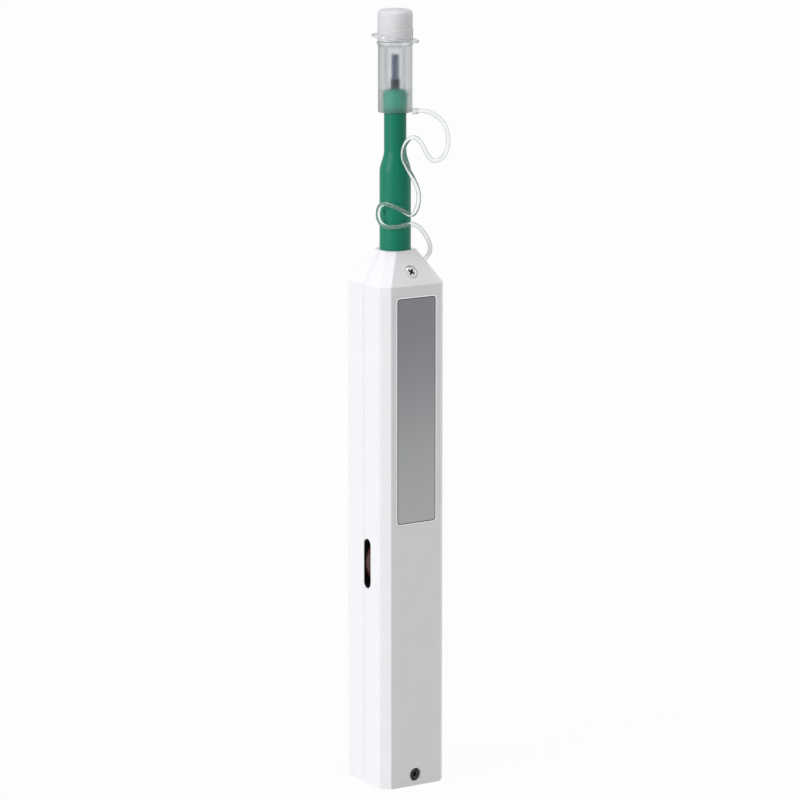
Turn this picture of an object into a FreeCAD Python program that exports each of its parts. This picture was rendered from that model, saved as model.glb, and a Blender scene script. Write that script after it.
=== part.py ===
import FreeCAD, Part
import math
import os

# Fibre connector cleaning pen, standing on its base, in millimetres.
# +Z runs up the pen from the base to the cap, the label is on the -Y side and the
# wheel slot is on the -X side. The origin is the middle of the base.

V = FreeCAD.Vector

# ---------------------------------------------------------------- driving dimensions

# casing: two half shells that meet on the plane Y = 0
BODY_WIDTH = 18.0
BODY_CHAMFER = 2.0
BODY_EDGE_RADIUS = 0.5
BODY_HEIGHT = 122.7       # from the base to the foot of the shoulder
SHOULDER_RISE = 7.7
SHOULDER_TOP_WIDTH = 8.6
SHOULDER_TOP_CHAMFER = 1.8
WALL = 1.6
FLOOR = 1.8
SEAM_GROOVE = 0.12
LIP_DEPTH = 0.8
LIP_THICKNESS = 0.8
FIT_GAP = 0.05            # between pieces that are fixed to each other
RUN_GAP = 0.35            # between pieces that move past each other
SHAFT_GAP = 0.06          # radial clearance of a shaft or a push fit

# label in a shallow recess of the front shell
LABEL_WIDTH = 11.6
LABEL_HEIGHT = 55.4
LABEL_OFFSET = 0.15       # of its middle from the pen's axis
LABEL_DROP = 30.2         # of its middle below the foot of the shoulder
LABEL_CORNER = 0.9
LABEL_THICKNESS = 0.25

# slot over the wheel in the left wall
SLOT_WIDTH = 3.0
SLOT_HEIGHT = 12.2

# cover screws
SCREW_HEAD_RADIUS = 1.6
SCREW_HEAD_HEIGHT = 0.9
SCREW_SHANK_RADIUS = 0.75
SCREW_RECESS_WIDTH = 0.45
SCREW_RECESS_DEPTH = 0.5
BASE_SCREW_Z = 2.7
BASE_SCREW_SINK = 1.5
BASE_SCREW_LENGTH = 7.0
BASE_BOSS_RADIUS = 2.3
SHOULDER_SCREW_SHARE = 0.40    # how far up the slope the shoulder screw sits
SHOULDER_SCREW_SINK = 0.95
SHOULDER_SCREW_LENGTH = 1.7

# nozzle barrel, from the casing's top upwards
STROKE = 8.0
BARREL_RADIUS = 3.75
BARREL_REACH = 19.4       # of the wide part above the casing
CONE_HEIGHT = 3.4
NECK_RADIUS = 2.68
NECK_LENGTH = 11.0
HEAD_RADIUS = 3.0
HEAD_LENGTH = 3.1
DOME_HEIGHT = 1.65
DOME_TOP_RADIUS = 1.25
BARREL_BORE_RADIUS = 2.5
NECK_BORE_RADIUS = 1.5

# guide block that the barrel runs in
GUIDE_COVER = 4.0         # of the casing over the block
GUIDE_HEIGHT = 9.9
GUIDE_FLANGE_RISE = 2.0
GUIDE_FLANGE_HEIGHT = 1.4
GUIDE_FLANGE_DEPTH = 0.5

# slider carriage below the barrel
CARRIAGE_HEIGHT = 13.3
CARRIAGE_TOP_GAP = 0.2
CARRIAGE_FLOOR = 1.0
CARRIAGE_HOLE_RADIUS = 2.55
COLLAR_POCKET_RADIUS = 3.25
COLLAR_POCKET_HEIGHT = 2.0

# tip spindle, turned by a pin in its helical groove
CAM_BELOW_SEAT = 3.0
CAM_LENGTH = 17.0
CAM_RADIUS = 2.2
GROOVE_RADIUS = 0.75
GROOVE_LEAD = 16.0
GROOVE_RUN_OUT = 0.8
SPINDLE_RADIUS = 0.9
COLLAR_RADIUS = 2.9
COLLAR_HEIGHT = 1.2
CAM_PIN_RADIUS = 0.4
CAM_PIN_TIP_DEPTH = 0.45
SEAT_THICKNESS = 2.5

# tip above the barrel
TIP_COLLAR_RADIUS = 1.08
TIP_COLLAR_HEIGHT = 2.1
TIP_RADIUS = 0.9
TIP_LENGTH = 5.85
TIP_EDGE = 0.3
TIP_GAP = 0.1
THREAD_WIDTH = 0.7
THREAD_THICKNESS = 0.12

# return spring round the spindle
SPRING_SPACE = 22.5       # from its seat to the carriage
SPRING_RADIUS = 3.3
SPRING_WIRE_RADIUS = 0.3
SPRING_TURNS = 6
SPRING_RUNS = 12          # straight runs to a turn

# gear train: the rack on the carriage drives the pinion, the pinion the take-up reel
MODULE = 0.5
TOOTH_ADDENDUM = 0.8      # in modules
TOOTH_DEDENDUM = 1.15     # in modules
TOOTH_THINNING = 0.16     # share of the tooth that is left off for backlash
PRESSURE_ANGLE = 20.0
PINION_TEETH = 12
REEL_TEETH = 20
GEAR_WIDTH = 2.5
HUB_LENGTH = 0.95         # of the hubs behind the gears
RACK_BACK = 1.6
RACK_END = 1.2
RACK_WALL_GAP = 0.425
AXLE_RADIUS = 1.0
PINION_AXLE_RADIUS = 0.75
HUB_RADIUS = 2.2
BOSS_RADIUS = 2.3
BOSS_LENGTH = 2.7
FRONT_BOSS_LENGTH = 0.9
BOSS_GAP = 0.25

# take-up reel with the thumb wheel in the slot
TAKE_UP_DROP = 67.9       # of its axle below the foot of the shoulder
WHEEL_RADIUS = 7.0
WHEEL_SINK = 0.4          # of its rim below the casing's left face
WHEEL_WIDTH = 2.2
WHEEL_NOTCHES = 28
WHEEL_NOTCH_DEPTH = 0.25
TAKE_UP_FLANGE_RADIUS = 5.4
TAKE_UP_PACK_RADIUS = 4.0
DRUM_RADIUS = 2.4
FLANGE_THICKNESS = 0.7
REEL_END_GAP = 1.2        # from the front wall to the reels

# supply reel
SUPPLY_DROP = 24.3        # of its axle below the take-up axle
SUPPLY_SIDE_GAP = 0.6     # from its flanges to the side walls
SUPPLY_PACK_RADIUS = 6.0
WASHER_THICKNESS = 0.5
WASHER_GAP = 0.75         # from the washer to the supply reel
WASHER_RADIUS = 3.4

# ratchet leaf above the reel's gear
PAWL_BLOCK_RISE = 11.7    # above the take-up axle
PAWL_BLOCK_HEIGHT = 4.0
PAWL_BLOCK_DEPTH = 1.3
PAWL_LEAF = 0.4
PAWL_ANGLE = 112.0
PAWL_LIFT = 0.4

# guide cap on the nozzle's head
CAP_OVERLAP = 0.95        # of the sleeve below the head
CAP_RADIUS = 4.08
CAP_SOCKET_RISE = 1.4     # of the socket above the head's straight part
CAP_BORE_RADIUS = 2.5
CAP_TIP_ROOM = 1.6
CAP_PORT_RADIUS = 1.3
CAP_PORT_WEB = 0.8
CAP_FLANGE_HEIGHT = 0.7
CAP_FLANGE_RADIUS = 4.3
CAP_NECK_RADIUS = 3.4
CAP_NECK_LENGTH = 5.9
CAP_EDGE = 0.25
EYELET_ANGLE = -34.0
EYELET_REACH = 0.85
EYELET_WIDTH = 1.9
EYELET_HEIGHT = 1.6
EYELET_DROP = 0.65        # of the lug below the sleeve

# lid on the guide cap's neck, with its loose ring
LID_ROOM = 0.5
LID_TOP = 1.1
LID_RADIUS = 4.15
LID_SKIRT_RADIUS = 4.25
LID_SKIRT_HEIGHT = 2.5
LID_BEAD_HEIGHT = 0.45
LID_BEAD_RADIUS = 4.32
LID_ROUNDING = 1.1
GATE_RADIUS = 0.55
GATE_HEIGHT = 0.25
GATE_OFFSET = 0.9
RING_SIDE = 5.3           # half length of the ring to its wire's middle
RING_FRONT = 4.75         # half width of the ring to its wire's middle
RING_WIRE_RADIUS = 0.3
RING_RUNS = 24            # straight runs round the ring
RING_RISE = 0.65          # of its middle above the cap's flange
RING_TILT = 8.0

# tether cord
CORD_RADIUS = 0.55
KNOT_RADIUS = 0.85
KNOT_LENGTH = 0.9
TETHER_SHARE = 0.44       # how far up the right slope the cord leaves the casing
TETHER_EXIT = 1.7         # straight run out of the casing
EYELET_EXIT = 1.5         # straight run out of the cap's lug
ARC_SHARE = 0.45          # of the shorter run beside a corner that its arc takes

# Route of the cord round the barrel, as corners of its path: angle round the axis,
# distance of the cord's middle from the barrel's wall, and height. The lower route
# counts its heights up from the casing's top, the upper one down from the cap.
LOWER_ROUTE = [
    (-19.0, 4.96, -1.00), (-35.0, 4.50, 1.40), (-53.8, 3.46, 4.60), (-76.7, 2.48, 6.80),
    (-102.9, 1.73, 6.20), (-129.8, 1.52, 5.90), (-154.7, 1.70, 6.00), (-169.3, 1.84, 7.60),
    (-170.4, 1.87, 9.90), (-158.6, 1.76, 11.60), (-134.2, 1.48, 11.20),
    (-106.1, 1.67, 10.00), (-81.9, 2.48, 8.40), (-66.6, 2.81, 10.70), (-61.9, 2.74, 13.90),
    (-70.8, 1.97, 17.00), (-88.4, 1.19, 20.10),
]
UPPER_ROUTE = [
    (-105.7, 0.47, 9.35), (-99.9, 0.37, 7.05), (-82.8, 0.93, 5.35), (-66.9, 1.83, 5.55),
    (-56.5, 2.89, 8.05), (-50.6, 3.75, 10.85), (-45.1, 5.31, 12.25), (-41.5, 7.54, 11.55),
    (-38.9, 8.74, 8.95), (-37.6, 8.67, 5.75), (-36.4, 7.26, 3.05), (-35.3, 5.15, 1.45),
]

# ---------------------------------------------------------------- derived places

SHOULDER_Z = BODY_HEIGHT
TOP_Z = SHOULDER_Z + SHOULDER_RISE
HALF = BODY_WIDTH / 2
INNER = HALF - WALL
SHOULDER_RUN = HALF - SHOULDER_TOP_WIDTH / 2
SLOPE = math.atan2(SHOULDER_RUN, SHOULDER_RISE)
LABEL_CENTRE_Z = SHOULDER_Z - LABEL_DROP

GUIDE_TOP_Z = TOP_Z - GUIDE_COVER
GUIDE_BOTTOM_Z = GUIDE_TOP_Z - GUIDE_HEIGHT
GUIDE_FLANGE_Z = GUIDE_BOTTOM_Z + GUIDE_FLANGE_RISE
CARRIAGE_TOP_Z = GUIDE_BOTTOM_Z - CARRIAGE_TOP_GAP
CARRIAGE_BOTTOM_Z = CARRIAGE_TOP_Z - CARRIAGE_HEIGHT
BARREL_BOTTOM_Z = CARRIAGE_BOTTOM_Z + CARRIAGE_FLOOR + COLLAR_POCKET_HEIGHT
SEAT_TOP_Z = CARRIAGE_BOTTOM_Z - SPRING_SPACE
SEAT_BOTTOM_Z = SEAT_TOP_Z - SEAT_THICKNESS
CAM_PIN_Z = SEAT_BOTTOM_Z + SEAT_THICKNESS / 2
CAM_BOTTOM_Z = SEAT_BOTTOM_Z - CAM_BELOW_SEAT
CAM_TOP_Z = CAM_BOTTOM_Z + CAM_LENGTH

BARREL_CONE_Z = TOP_Z + BARREL_REACH
NECK_Z = BARREL_CONE_Z + CONE_HEIGHT
HEAD_Z = NECK_Z + NECK_LENGTH
HEAD_TOP_Z = HEAD_Z + HEAD_LENGTH
DOME_TOP_Z = HEAD_TOP_Z + DOME_HEIGHT
TIP_COLLAR_Z = DOME_TOP_Z + TIP_GAP
TIP_TOP_Z = TIP_COLLAR_Z + TIP_COLLAR_HEIGHT + TIP_LENGTH

CAP_BOTTOM_Z = HEAD_Z - CAP_OVERLAP
CAP_SOCKET_TOP_Z = HEAD_TOP_Z + CAP_SOCKET_RISE
CAP_PORT_Z = TIP_TOP_Z + CAP_TIP_ROOM
CAP_FLANGE_Z = CAP_PORT_Z + CAP_PORT_WEB
CAP_FLANGE_TOP_Z = CAP_FLANGE_Z + CAP_FLANGE_HEIGHT
CAP_NECK_TOP_Z = CAP_FLANGE_TOP_Z + CAP_NECK_LENGTH
EYELET_BOTTOM_Z = CAP_BOTTOM_Z - EYELET_DROP
LID_TOP_Z = CAP_NECK_TOP_Z + LID_ROOM + LID_TOP
LID_SKIRT_TOP_Z = CAP_FLANGE_TOP_Z + LID_SKIRT_HEIGHT

TAKE_UP_Z = SHOULDER_Z - TAKE_UP_DROP
SUPPLY_Z = TAKE_UP_Z - SUPPLY_DROP
BOSS_FRONT_Y = INNER - BOSS_LENGTH
HUB_BACK_Y = BOSS_FRONT_Y - BOSS_GAP
FRONT_BOSS_Y = -INNER + FRONT_BOSS_LENGTH
GEAR_BACK_Y = HUB_BACK_Y - HUB_LENGTH
GEAR_FRONT_Y = GEAR_BACK_Y - GEAR_WIDTH
PINION_RADIUS = MODULE * PINION_TEETH / 2
REEL_GEAR_RADIUS = MODULE * REEL_TEETH / 2
CENTRE_DISTANCE = PINION_RADIUS + REEL_GEAR_RADIUS
RACK_ROOT_X = INNER - RACK_WALL_GAP - RACK_BACK
RACK_PITCH_X = RACK_ROOT_X - MODULE * TOOTH_DEDENDUM
PINION_X = RACK_PITCH_X - PINION_RADIUS
TAKE_UP_X = WHEEL_RADIUS + WHEEL_SINK - HALF
PINION_Z = TAKE_UP_Z + math.sqrt(CENTRE_DISTANCE ** 2 - (PINION_X - TAKE_UP_X) ** 2)
TOOTH_PITCH = math.pi * MODULE
RACK_TEETH = math.ceil(STROKE / TOOTH_PITCH) + 5
WHEEL_BACK_Y = -(SLOT_WIDTH - WHEEL_WIDTH) / 2
WHEEL_FRONT_Y = WHEEL_BACK_Y - WHEEL_WIDTH
REEL_FRONT_Y = -INNER + REEL_END_GAP
SUPPLY_FLANGE_RADIUS = INNER - SUPPLY_SIDE_GAP
WASHER_BACK_Y = BOSS_FRONT_Y - FIT_GAP
SUPPLY_REAR_Y = WASHER_BACK_Y - WASHER_THICKNESS - WASHER_GAP
PAWL_BLOCK_Z = TAKE_UP_Z + PAWL_BLOCK_RISE


# ---------------------------------------------------------------- general shapes

def box(x0, x1, y0, y1, z0, z1):
    return Part.makeBox(x1 - x0, y1 - y0, z1 - z0, V(x0, y0, z0))


def cylinder_z(radius, z0, z1, x=0.0, y=0.0):
    return Part.makeCylinder(radius, z1 - z0, V(x, y, z0), V(0, 0, 1))


def cylinder_y(radius, y0, y1, x, z):
    return Part.makeCylinder(radius, y1 - y0, V(x, y0, z), V(0, 1, 0))


def slab(z0, z1):
    return box(-BODY_WIDTH, BODY_WIDTH, -BODY_WIDTH, BODY_WIDTH, z0, z1)


def revolved(points):
    """Solid of revolution round Z from a closed outline of (radius, z) points."""
    corners = [V(r, 0, z) for r, z in points]
    face = Part.Face(Part.makePolygon(corners + corners[:1]))
    return face.revolve(V(0, 0, 0), V(0, 0, 1), 360)


def rounded_loop(corners, radius):
    """Closed wire through the corners, each rounded with an arc of the radius."""
    edges = []
    count = len(corners)
    ends = []
    for i in range(count):
        corner = corners[i]
        to_last = (corners[i - 1] - corner).normalize()
        to_next = (corners[(i + 1) % count] - corner).normalize()
        turn = math.pi - to_last.getAngle(to_next)
        reach = radius * math.tan(turn / 2)
        inward = (to_last + to_next).normalize()
        middle = corner + inward * (radius / math.cos(turn / 2) - radius)
        ends.append((corner + to_last * reach, middle, corner + to_next * reach))
    for i in range(count):
        start, middle, stop = ends[i]
        edges.append(Part.Arc(start, middle, stop).toShape())
        edges.append(Part.LineSegment(stop, ends[(i + 1) % count][0]).toShape())
    return Part.Wire(edges)


def octagon(half, chamfer, z, radius=0.0):
    """Square of half width `half` with cut corners, at height z."""
    near = half - chamfer
    corners = [V(x, y, z) for x, y in (
        (half, -near), (half, near), (near, half), (-near, half),
        (-half, near), (-half, -near), (-near, -half), (near, -half))]
    if radius > 0:
        return rounded_loop(corners, radius)
    return Part.makePolygon(corners + corners[:1])


def casing_form(inset, radius=0.0):
    """The casing's outer form with every wall moved in by `inset`, from Z = 0 up."""
    half = HALF - inset
    chamfer = BODY_CHAMFER - inset * (2 - math.sqrt(2))
    ridge_z = SHOULDER_Z - inset * math.tan(SLOPE / 2)
    top_half = SHOULDER_TOP_WIDTH / 2 - inset / math.cos(SLOPE)
    top_chamfer = SHOULDER_TOP_CHAMFER * top_half / (SHOULDER_TOP_WIDTH / 2)
    base = octagon(half, chamfer, 0, radius)
    ridge = octagon(half, chamfer, ridge_z, radius)
    top = octagon(top_half, top_chamfer, TOP_Z, radius)
    prism = Part.Face(base).extrude(V(0, 0, ridge_z))
    return prism.fuse(tapered(ridge, top)).removeSplitter()


def tapered(low, high):
    """Solid between two level outlines with matching edges: flat sides, ruled corners."""
    faces = [Part.Face(low), Part.Face(high)]
    for a, b in zip(low.OrderedEdges, high.OrderedEdges):
        if a.Curve.TypeId == "Part::GeomLine":
            near, far = a.Vertexes
            high_near, high_far = b.Vertexes
            corners = [near.Point, far.Point, high_far.Point, high_near.Point, near.Point]
            faces.append(Part.Face(Part.makePolygon(corners)))
        else:
            faces.append(Part.makeRuledSurface(a, b))
    shell = Part.makeShell(faces)
    shell.sewShape()
    solid = Part.makeSolid(shell)
    if solid.Volume < 0:
        solid.reverse()
    return solid


def front_half(back_y=0.0):
    return box(-BODY_WIDTH, BODY_WIDTH, -BODY_WIDTH, back_y, -1, TOP_Z + 1)


def rear_half(front_y=0.0):
    return box(-BODY_WIDTH, BODY_WIDTH, front_y, BODY_WIDTH, -1, TOP_Z + 1)


def front_slope_place(share):
    """Point and outward normal on the middle of the front slope, `share` of the way up."""
    point = V(0, -HALF + SHOULDER_RUN * share, SHOULDER_Z + SHOULDER_RISE * share)
    return point, V(0, -math.cos(SLOPE), math.sin(SLOPE))


def right_slope_place(share):
    """Point and outward normal on the middle of the right slope, `share` of the way up."""
    point = V(HALF - SHOULDER_RUN * share, 0, SHOULDER_Z + SHOULDER_RISE * share)
    return point, V(math.cos(SLOPE), 0, math.sin(SLOPE))


def wire_section(centre, direction, radius):
    """Six-sided outline across a wire or cord, with the area of a circle of the radius."""
    reach = radius * math.sqrt(math.pi / (3 * math.sin(math.pi / 3)))
    turn = FreeCAD.Rotation(V(0, 0, 1), direction)
    corners = []
    for i in range(6):
        angle = math.pi * i / 3
        corners.append(centre + turn.multVec(V(reach * math.cos(angle), reach * math.sin(angle), 0)))
    return Part.makePolygon(corners + corners[:1])


def turned_to(shape, point, direction):
    """Moves a shape built round +Z from the origin to a point and direction."""
    placed = shape.copy()
    placed.Placement = FreeCAD.Placement(point, FreeCAD.Rotation(V(0, 0, 1), direction))
    return placed


# ---------------------------------------------------------------- casing

def shell_cuts():
    """What is cut from both shells: the barrel's bore, the guide's groove, cord and slot."""
    bore = cylinder_z(BARREL_RADIUS + SHAFT_GAP, GUIDE_BOTTOM_Z, TOP_Z + 1)
    groove = casing_form(WALL - GUIDE_FLANGE_DEPTH - FIT_GAP).common(
        slab(GUIDE_FLANGE_Z - FIT_GAP, GUIDE_FLANGE_Z + GUIDE_FLANGE_HEIGHT + FIT_GAP))
    point, normal = right_slope_place(TETHER_SHARE)
    cord_hole = turned_to(Part.makeCylinder(CORD_RADIUS + FIT_GAP, 2 * WALL),
                          point - normal * WALL * 1.5, normal)
    end = SLOT_WIDTH / 2
    slot_low = TAKE_UP_Z - SLOT_HEIGHT / 2 + end
    slot_high = TAKE_UP_Z + SLOT_HEIGHT / 2 - end
    slot = box(-BODY_WIDTH, -INNER + WALL / 2, -SLOT_WIDTH, 0, slot_low, slot_high)
    length = BODY_WIDTH - INNER + WALL / 2
    for z in (slot_low, slot_high):
        slot = slot.fuse(Part.makeCylinder(end, length, V(-BODY_WIDTH, -end, z), V(1, 0, 0)))
    return bore.fuse(groove).fuse(cord_hole).fuse(slot)


def hollow():
    """The space inside the casing, up to just above the guide block."""
    return casing_form(WALL).common(slab(FLOOR, GUIDE_TOP_Z + FIT_GAP))


def base_screw_seat():
    return V(0, -HALF + BASE_SCREW_SINK, BASE_SCREW_Z)


def make_rear_shell():
    shell = casing_form(0, BODY_EDGE_RADIUS).cut(hollow()).common(rear_half())
    lip = casing_form(LIP_THICKNESS).cut(casing_form(WALL)).common(
        box(-HALF, HALF, -LIP_DEPTH + FIT_GAP, 0, FLOOR, GUIDE_TOP_Z - LIP_THICKNESS))
    shell = shell.fuse(lip)
    inside = casing_form(WALL - FIT_GAP)
    for x, z in ((TAKE_UP_X, TAKE_UP_Z), (0, SUPPLY_Z), (PINION_X, PINION_Z)):
        shell = shell.fuse(cylinder_y(BOSS_RADIUS, BOSS_FRONT_Y, INNER + FIT_GAP, x, z))
    seat_y = base_screw_seat().y + WALL + BOSS_GAP
    boss = cylinder_y(BASE_BOSS_RADIUS, seat_y, INNER + FIT_GAP, 0, BASE_SCREW_Z)
    shell = shell.fuse(boss.common(inside.common(slab(FLOOR, SHOULDER_Z))))
    shell = shell.fuse(make_spring_seat(inside))
    for radius, x, z in ((AXLE_RADIUS, TAKE_UP_X, TAKE_UP_Z), (AXLE_RADIUS, 0, SUPPLY_Z),
                         (PINION_AXLE_RADIUS, PINION_X, PINION_Z)):
        shell = shell.cut(cylinder_y(radius + FIT_GAP / 2, BOSS_FRONT_Y - 1, INNER, x, z))
    pilot = cylinder_y(SCREW_SHANK_RADIUS + FIT_GAP / 2, seat_y - 1,
                       base_screw_seat().y + BASE_SCREW_LENGTH + BOSS_GAP, 0, BASE_SCREW_Z)
    return shell.cut(pilot).cut(shell_cuts()).removeSplitter()


def make_spring_seat(inside):
    """Cross wall of the rear shell that carries the spring, with room for the rack."""
    plate = slab(SEAT_BOTTOM_Z, SEAT_TOP_Z)
    rear = inside.common(plate).common(rear_half())
    front = casing_form(WALL + LIP_THICKNESS / 4).common(plate).common(front_half())
    seat = rear.fuse(front)
    seat = seat.cut(cylinder_z(CAM_RADIUS + RUN_GAP, SEAT_BOTTOM_Z - 1, SEAT_TOP_Z + 1))
    rack_x = RACK_PITCH_X - MODULE * TOOTH_ADDENDUM - RUN_GAP
    seat = seat.cut(box(rack_x, INNER, GEAR_FRONT_Y - RUN_GAP, GEAR_BACK_Y + RUN_GAP,
                        SEAT_BOTTOM_Z - 1, SEAT_TOP_Z + 1))
    pin_hole = CAM_PIN_RADIUS + FIT_GAP / 2
    return seat.cut(Part.makeCylinder(pin_hole, INNER, V(-INNER, 0, CAM_PIN_Z), V(1, 0, 0)))


def make_front_shell():
    shell = casing_form(0, BODY_EDGE_RADIUS).cut(hollow()).common(front_half())
    rebate = casing_form(LIP_THICKNESS - FIT_GAP).common(
        box(-HALF, HALF, -LIP_DEPTH, 0, FLOOR - FIT_GAP, GUIDE_TOP_Z - LIP_THICKNESS + FIT_GAP))
    shell = shell.cut(rebate)
    groove = casing_form(-1).cut(casing_form(SEAM_GROOVE)).common(
        box(-BODY_WIDTH, BODY_WIDTH, -SEAM_GROOVE, 0, FLOOR / 2, TOP_Z))
    shell = shell.cut(groove)
    bore = AXLE_RADIUS + FIT_GAP / 2
    for x, z in ((TAKE_UP_X, TAKE_UP_Z), (0, SUPPLY_Z)):
        shell = shell.fuse(cylinder_y(BOSS_RADIUS, -INNER - FIT_GAP, FRONT_BOSS_Y, x, z))
        shell = shell.cut(cylinder_y(bore, -INNER, FRONT_BOSS_Y + 1, x, z))
    seat = base_screw_seat()
    pad = cylinder_y(BASE_BOSS_RADIUS, -HALF, seat.y + WALL, 0, BASE_SCREW_Z)
    shell = shell.fuse(pad.common(casing_form(WALL / 2).common(slab(FLOOR / 2, SHOULDER_Z))))
    counterbore = cylinder_y(SCREW_HEAD_RADIUS + FIT_GAP, -BODY_WIDTH, seat.y, 0, BASE_SCREW_Z)
    through = cylinder_y(SCREW_SHANK_RADIUS + FIT_GAP, seat.y - 1, seat.y + WALL + 1, 0, BASE_SCREW_Z)
    shell = shell.cut(counterbore).cut(through).cut(shoulder_screw_hole())
    return shell.cut(label_form(0)).cut(shell_cuts()).removeSplitter()


def shoulder_screw_hole():
    point, normal = front_slope_place(SHOULDER_SCREW_SHARE)
    seat = point - normal * SHOULDER_SCREW_SINK
    head = Part.makeCylinder(SCREW_HEAD_RADIUS + FIT_GAP, SHOULDER_SCREW_SINK + 1)
    shank = Part.makeCylinder(SCREW_SHANK_RADIUS + FIT_GAP / 2, SHOULDER_SCREW_LENGTH + 1,
                              V(0, 0, -SHOULDER_SCREW_LENGTH))
    return turned_to(head.fuse(shank), seat, normal)


def label_form(gap):
    """The label's rounded rectangle let into the front face, smaller all round by `gap`."""
    x0 = LABEL_OFFSET - LABEL_WIDTH / 2 + gap
    x1 = LABEL_OFFSET + LABEL_WIDTH / 2 - gap
    z0 = LABEL_CENTRE_Z - LABEL_HEIGHT / 2 + gap
    z1 = LABEL_CENTRE_Z + LABEL_HEIGHT / 2 - gap
    corners = [V(x, -HALF, z) for x, z in ((x0, z0), (x1, z0), (x1, z1), (x0, z1))]
    return Part.Face(rounded_loop(corners, LABEL_CORNER)).extrude(V(0, LABEL_THICKNESS, 0))


def make_nozzle_guide():
    block = casing_form(WALL + FIT_GAP).common(slab(GUIDE_BOTTOM_Z, GUIDE_TOP_Z))
    flange = casing_form(WALL - GUIDE_FLANGE_DEPTH).common(
        slab(GUIDE_FLANGE_Z, GUIDE_FLANGE_Z + GUIDE_FLANGE_HEIGHT))
    lip_room = casing_form(-1).cut(casing_form(WALL + FIT_GAP)).common(
        box(-BODY_WIDTH, BODY_WIDTH, -LIP_DEPTH - FIT_GAP, FIT_GAP, GUIDE_BOTTOM_Z, GUIDE_TOP_Z))
    point, normal = right_slope_place(TETHER_SHARE)
    pocket = turned_to(Part.makeCylinder(KNOT_RADIUS + FIT_GAP, KNOT_LENGTH + WALL),
                       point - normal * (WALL + KNOT_LENGTH + FIT_GAP), normal)
    block = block.fuse(flange.cut(lip_room))
    block = block.cut(cylinder_z(BARREL_RADIUS + SHAFT_GAP, GUIDE_BOTTOM_Z - 1, GUIDE_TOP_Z + 1))
    return block.cut(shoulder_screw_hole()).cut(pocket).removeSplitter()


def make_screw(length):
    """Pan-head screw with a cross recess, its head above Z = 0 and its shank below."""
    edge = SCREW_HEAD_HEIGHT / 3
    screw = revolved([(0, -length), (SCREW_SHANK_RADIUS, -length), (SCREW_SHANK_RADIUS, 0),
                      (SCREW_HEAD_RADIUS, 0), (SCREW_HEAD_RADIUS, SCREW_HEAD_HEIGHT - edge),
                      (SCREW_HEAD_RADIUS - edge, SCREW_HEAD_HEIGHT), (0, SCREW_HEAD_HEIGHT)])
    reach = SCREW_HEAD_RADIUS * 0.65
    half = SCREW_RECESS_WIDTH / 2
    floor = SCREW_HEAD_HEIGHT - SCREW_RECESS_DEPTH
    cross = box(-reach, reach, -half, half, floor, SCREW_HEAD_HEIGHT + 1)
    return screw.cut(cross.fuse(box(-half, half, -reach, reach, floor, SCREW_HEAD_HEIGHT + 1)))


def make_cover_screws():
    point, normal = front_slope_place(SHOULDER_SCREW_SHARE)
    seat = point - normal * SHOULDER_SCREW_SINK
    shoulder = turned_to(make_screw(SHOULDER_SCREW_LENGTH), seat, normal)
    base = turned_to(make_screw(BASE_SCREW_LENGTH), base_screw_seat(), V(0, -1, 0))
    return Part.makeCompound([shoulder, base])


def make_axle(radius, x, z, front_y):
    return cylinder_y(radius, front_y, INNER - FIT_GAP / 2, x, z)


def make_cam_pin():
    tip_x = CAM_PIN_TIP_DEPTH - CAM_RADIUS
    length = INNER + tip_x - FIT_GAP
    return Part.makeCylinder(CAM_PIN_RADIUS, length, V(tip_x, 0, CAM_PIN_Z), V(-1, 0, 0))


def make_ratchet_pawl():
    """Leaf on a block in the rear shell's left wall, its tip just clear of the gear's teeth."""
    y0 = GEAR_FRONT_Y + GEAR_WIDTH * 0.1
    y1 = GEAR_BACK_Y - GEAR_WIDTH * 0.1
    left = -INNER + FIT_GAP
    right = left + PAWL_BLOCK_DEPTH
    reach = REEL_GEAR_RADIUS + MODULE * TOOTH_ADDENDUM + PAWL_LIFT
    angle = math.radians(PAWL_ANGLE)
    tip = V(TAKE_UP_X + reach * math.cos(angle), y0, TAKE_UP_Z + reach * math.sin(angle))
    leaf = [V(right - PAWL_LEAF, y0, PAWL_BLOCK_Z), tip, tip + V(PAWL_LEAF, 0, PAWL_LEAF / 2),
            V(right, y0, PAWL_BLOCK_Z)]
    block = box(left, right, y0, y1, PAWL_BLOCK_Z, PAWL_BLOCK_Z + PAWL_BLOCK_HEIGHT)
    spring = Part.Face(Part.makePolygon(leaf + leaf[:1])).extrude(V(0, y1 - y0, 0))
    return block.fuse(spring).removeSplitter()


# ---------------------------------------------------------------- gear train

def involute_angle(radius, pitch_radius):
    """How far round the flank lies at a radius, measured from where the involute starts."""
    base = pitch_radius * math.cos(math.radians(PRESSURE_ANGLE))
    if radius <= base:
        return 0.0
    alpha = math.acos(base / radius)
    return math.tan(alpha) - alpha


def gear_outline(teeth, phase, y):
    """Involute gear outline in the plane of X and Z, one tooth centred at angle `phase`."""
    pitch = MODULE * teeth / 2
    tip = pitch + MODULE * TOOTH_ADDENDUM
    root = pitch - MODULE * TOOTH_DEDENDUM
    half = math.pi / (2 * teeth) * (1 - TOOTH_THINNING) + involute_angle(pitch, pitch)
    radii = (root, pitch, tip)
    points = []
    for i in range(teeth):
        centre = phase + 2 * math.pi * i / teeth
        for side, order in ((-1, radii), (1, radii[::-1])):
            for radius in order:
                angle = centre + side * (half - involute_angle(radius, pitch))
                points.append(V(radius * math.cos(angle), y, radius * math.sin(angle)))
    return Part.makePolygon(points + points[:1])


def make_gear(teeth, phase, x, z):
    gear = Part.Face(gear_outline(teeth, phase, GEAR_FRONT_Y)).extrude(V(0, GEAR_WIDTH, 0))
    gear.translate(V(x, 0, z))
    return gear


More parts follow.
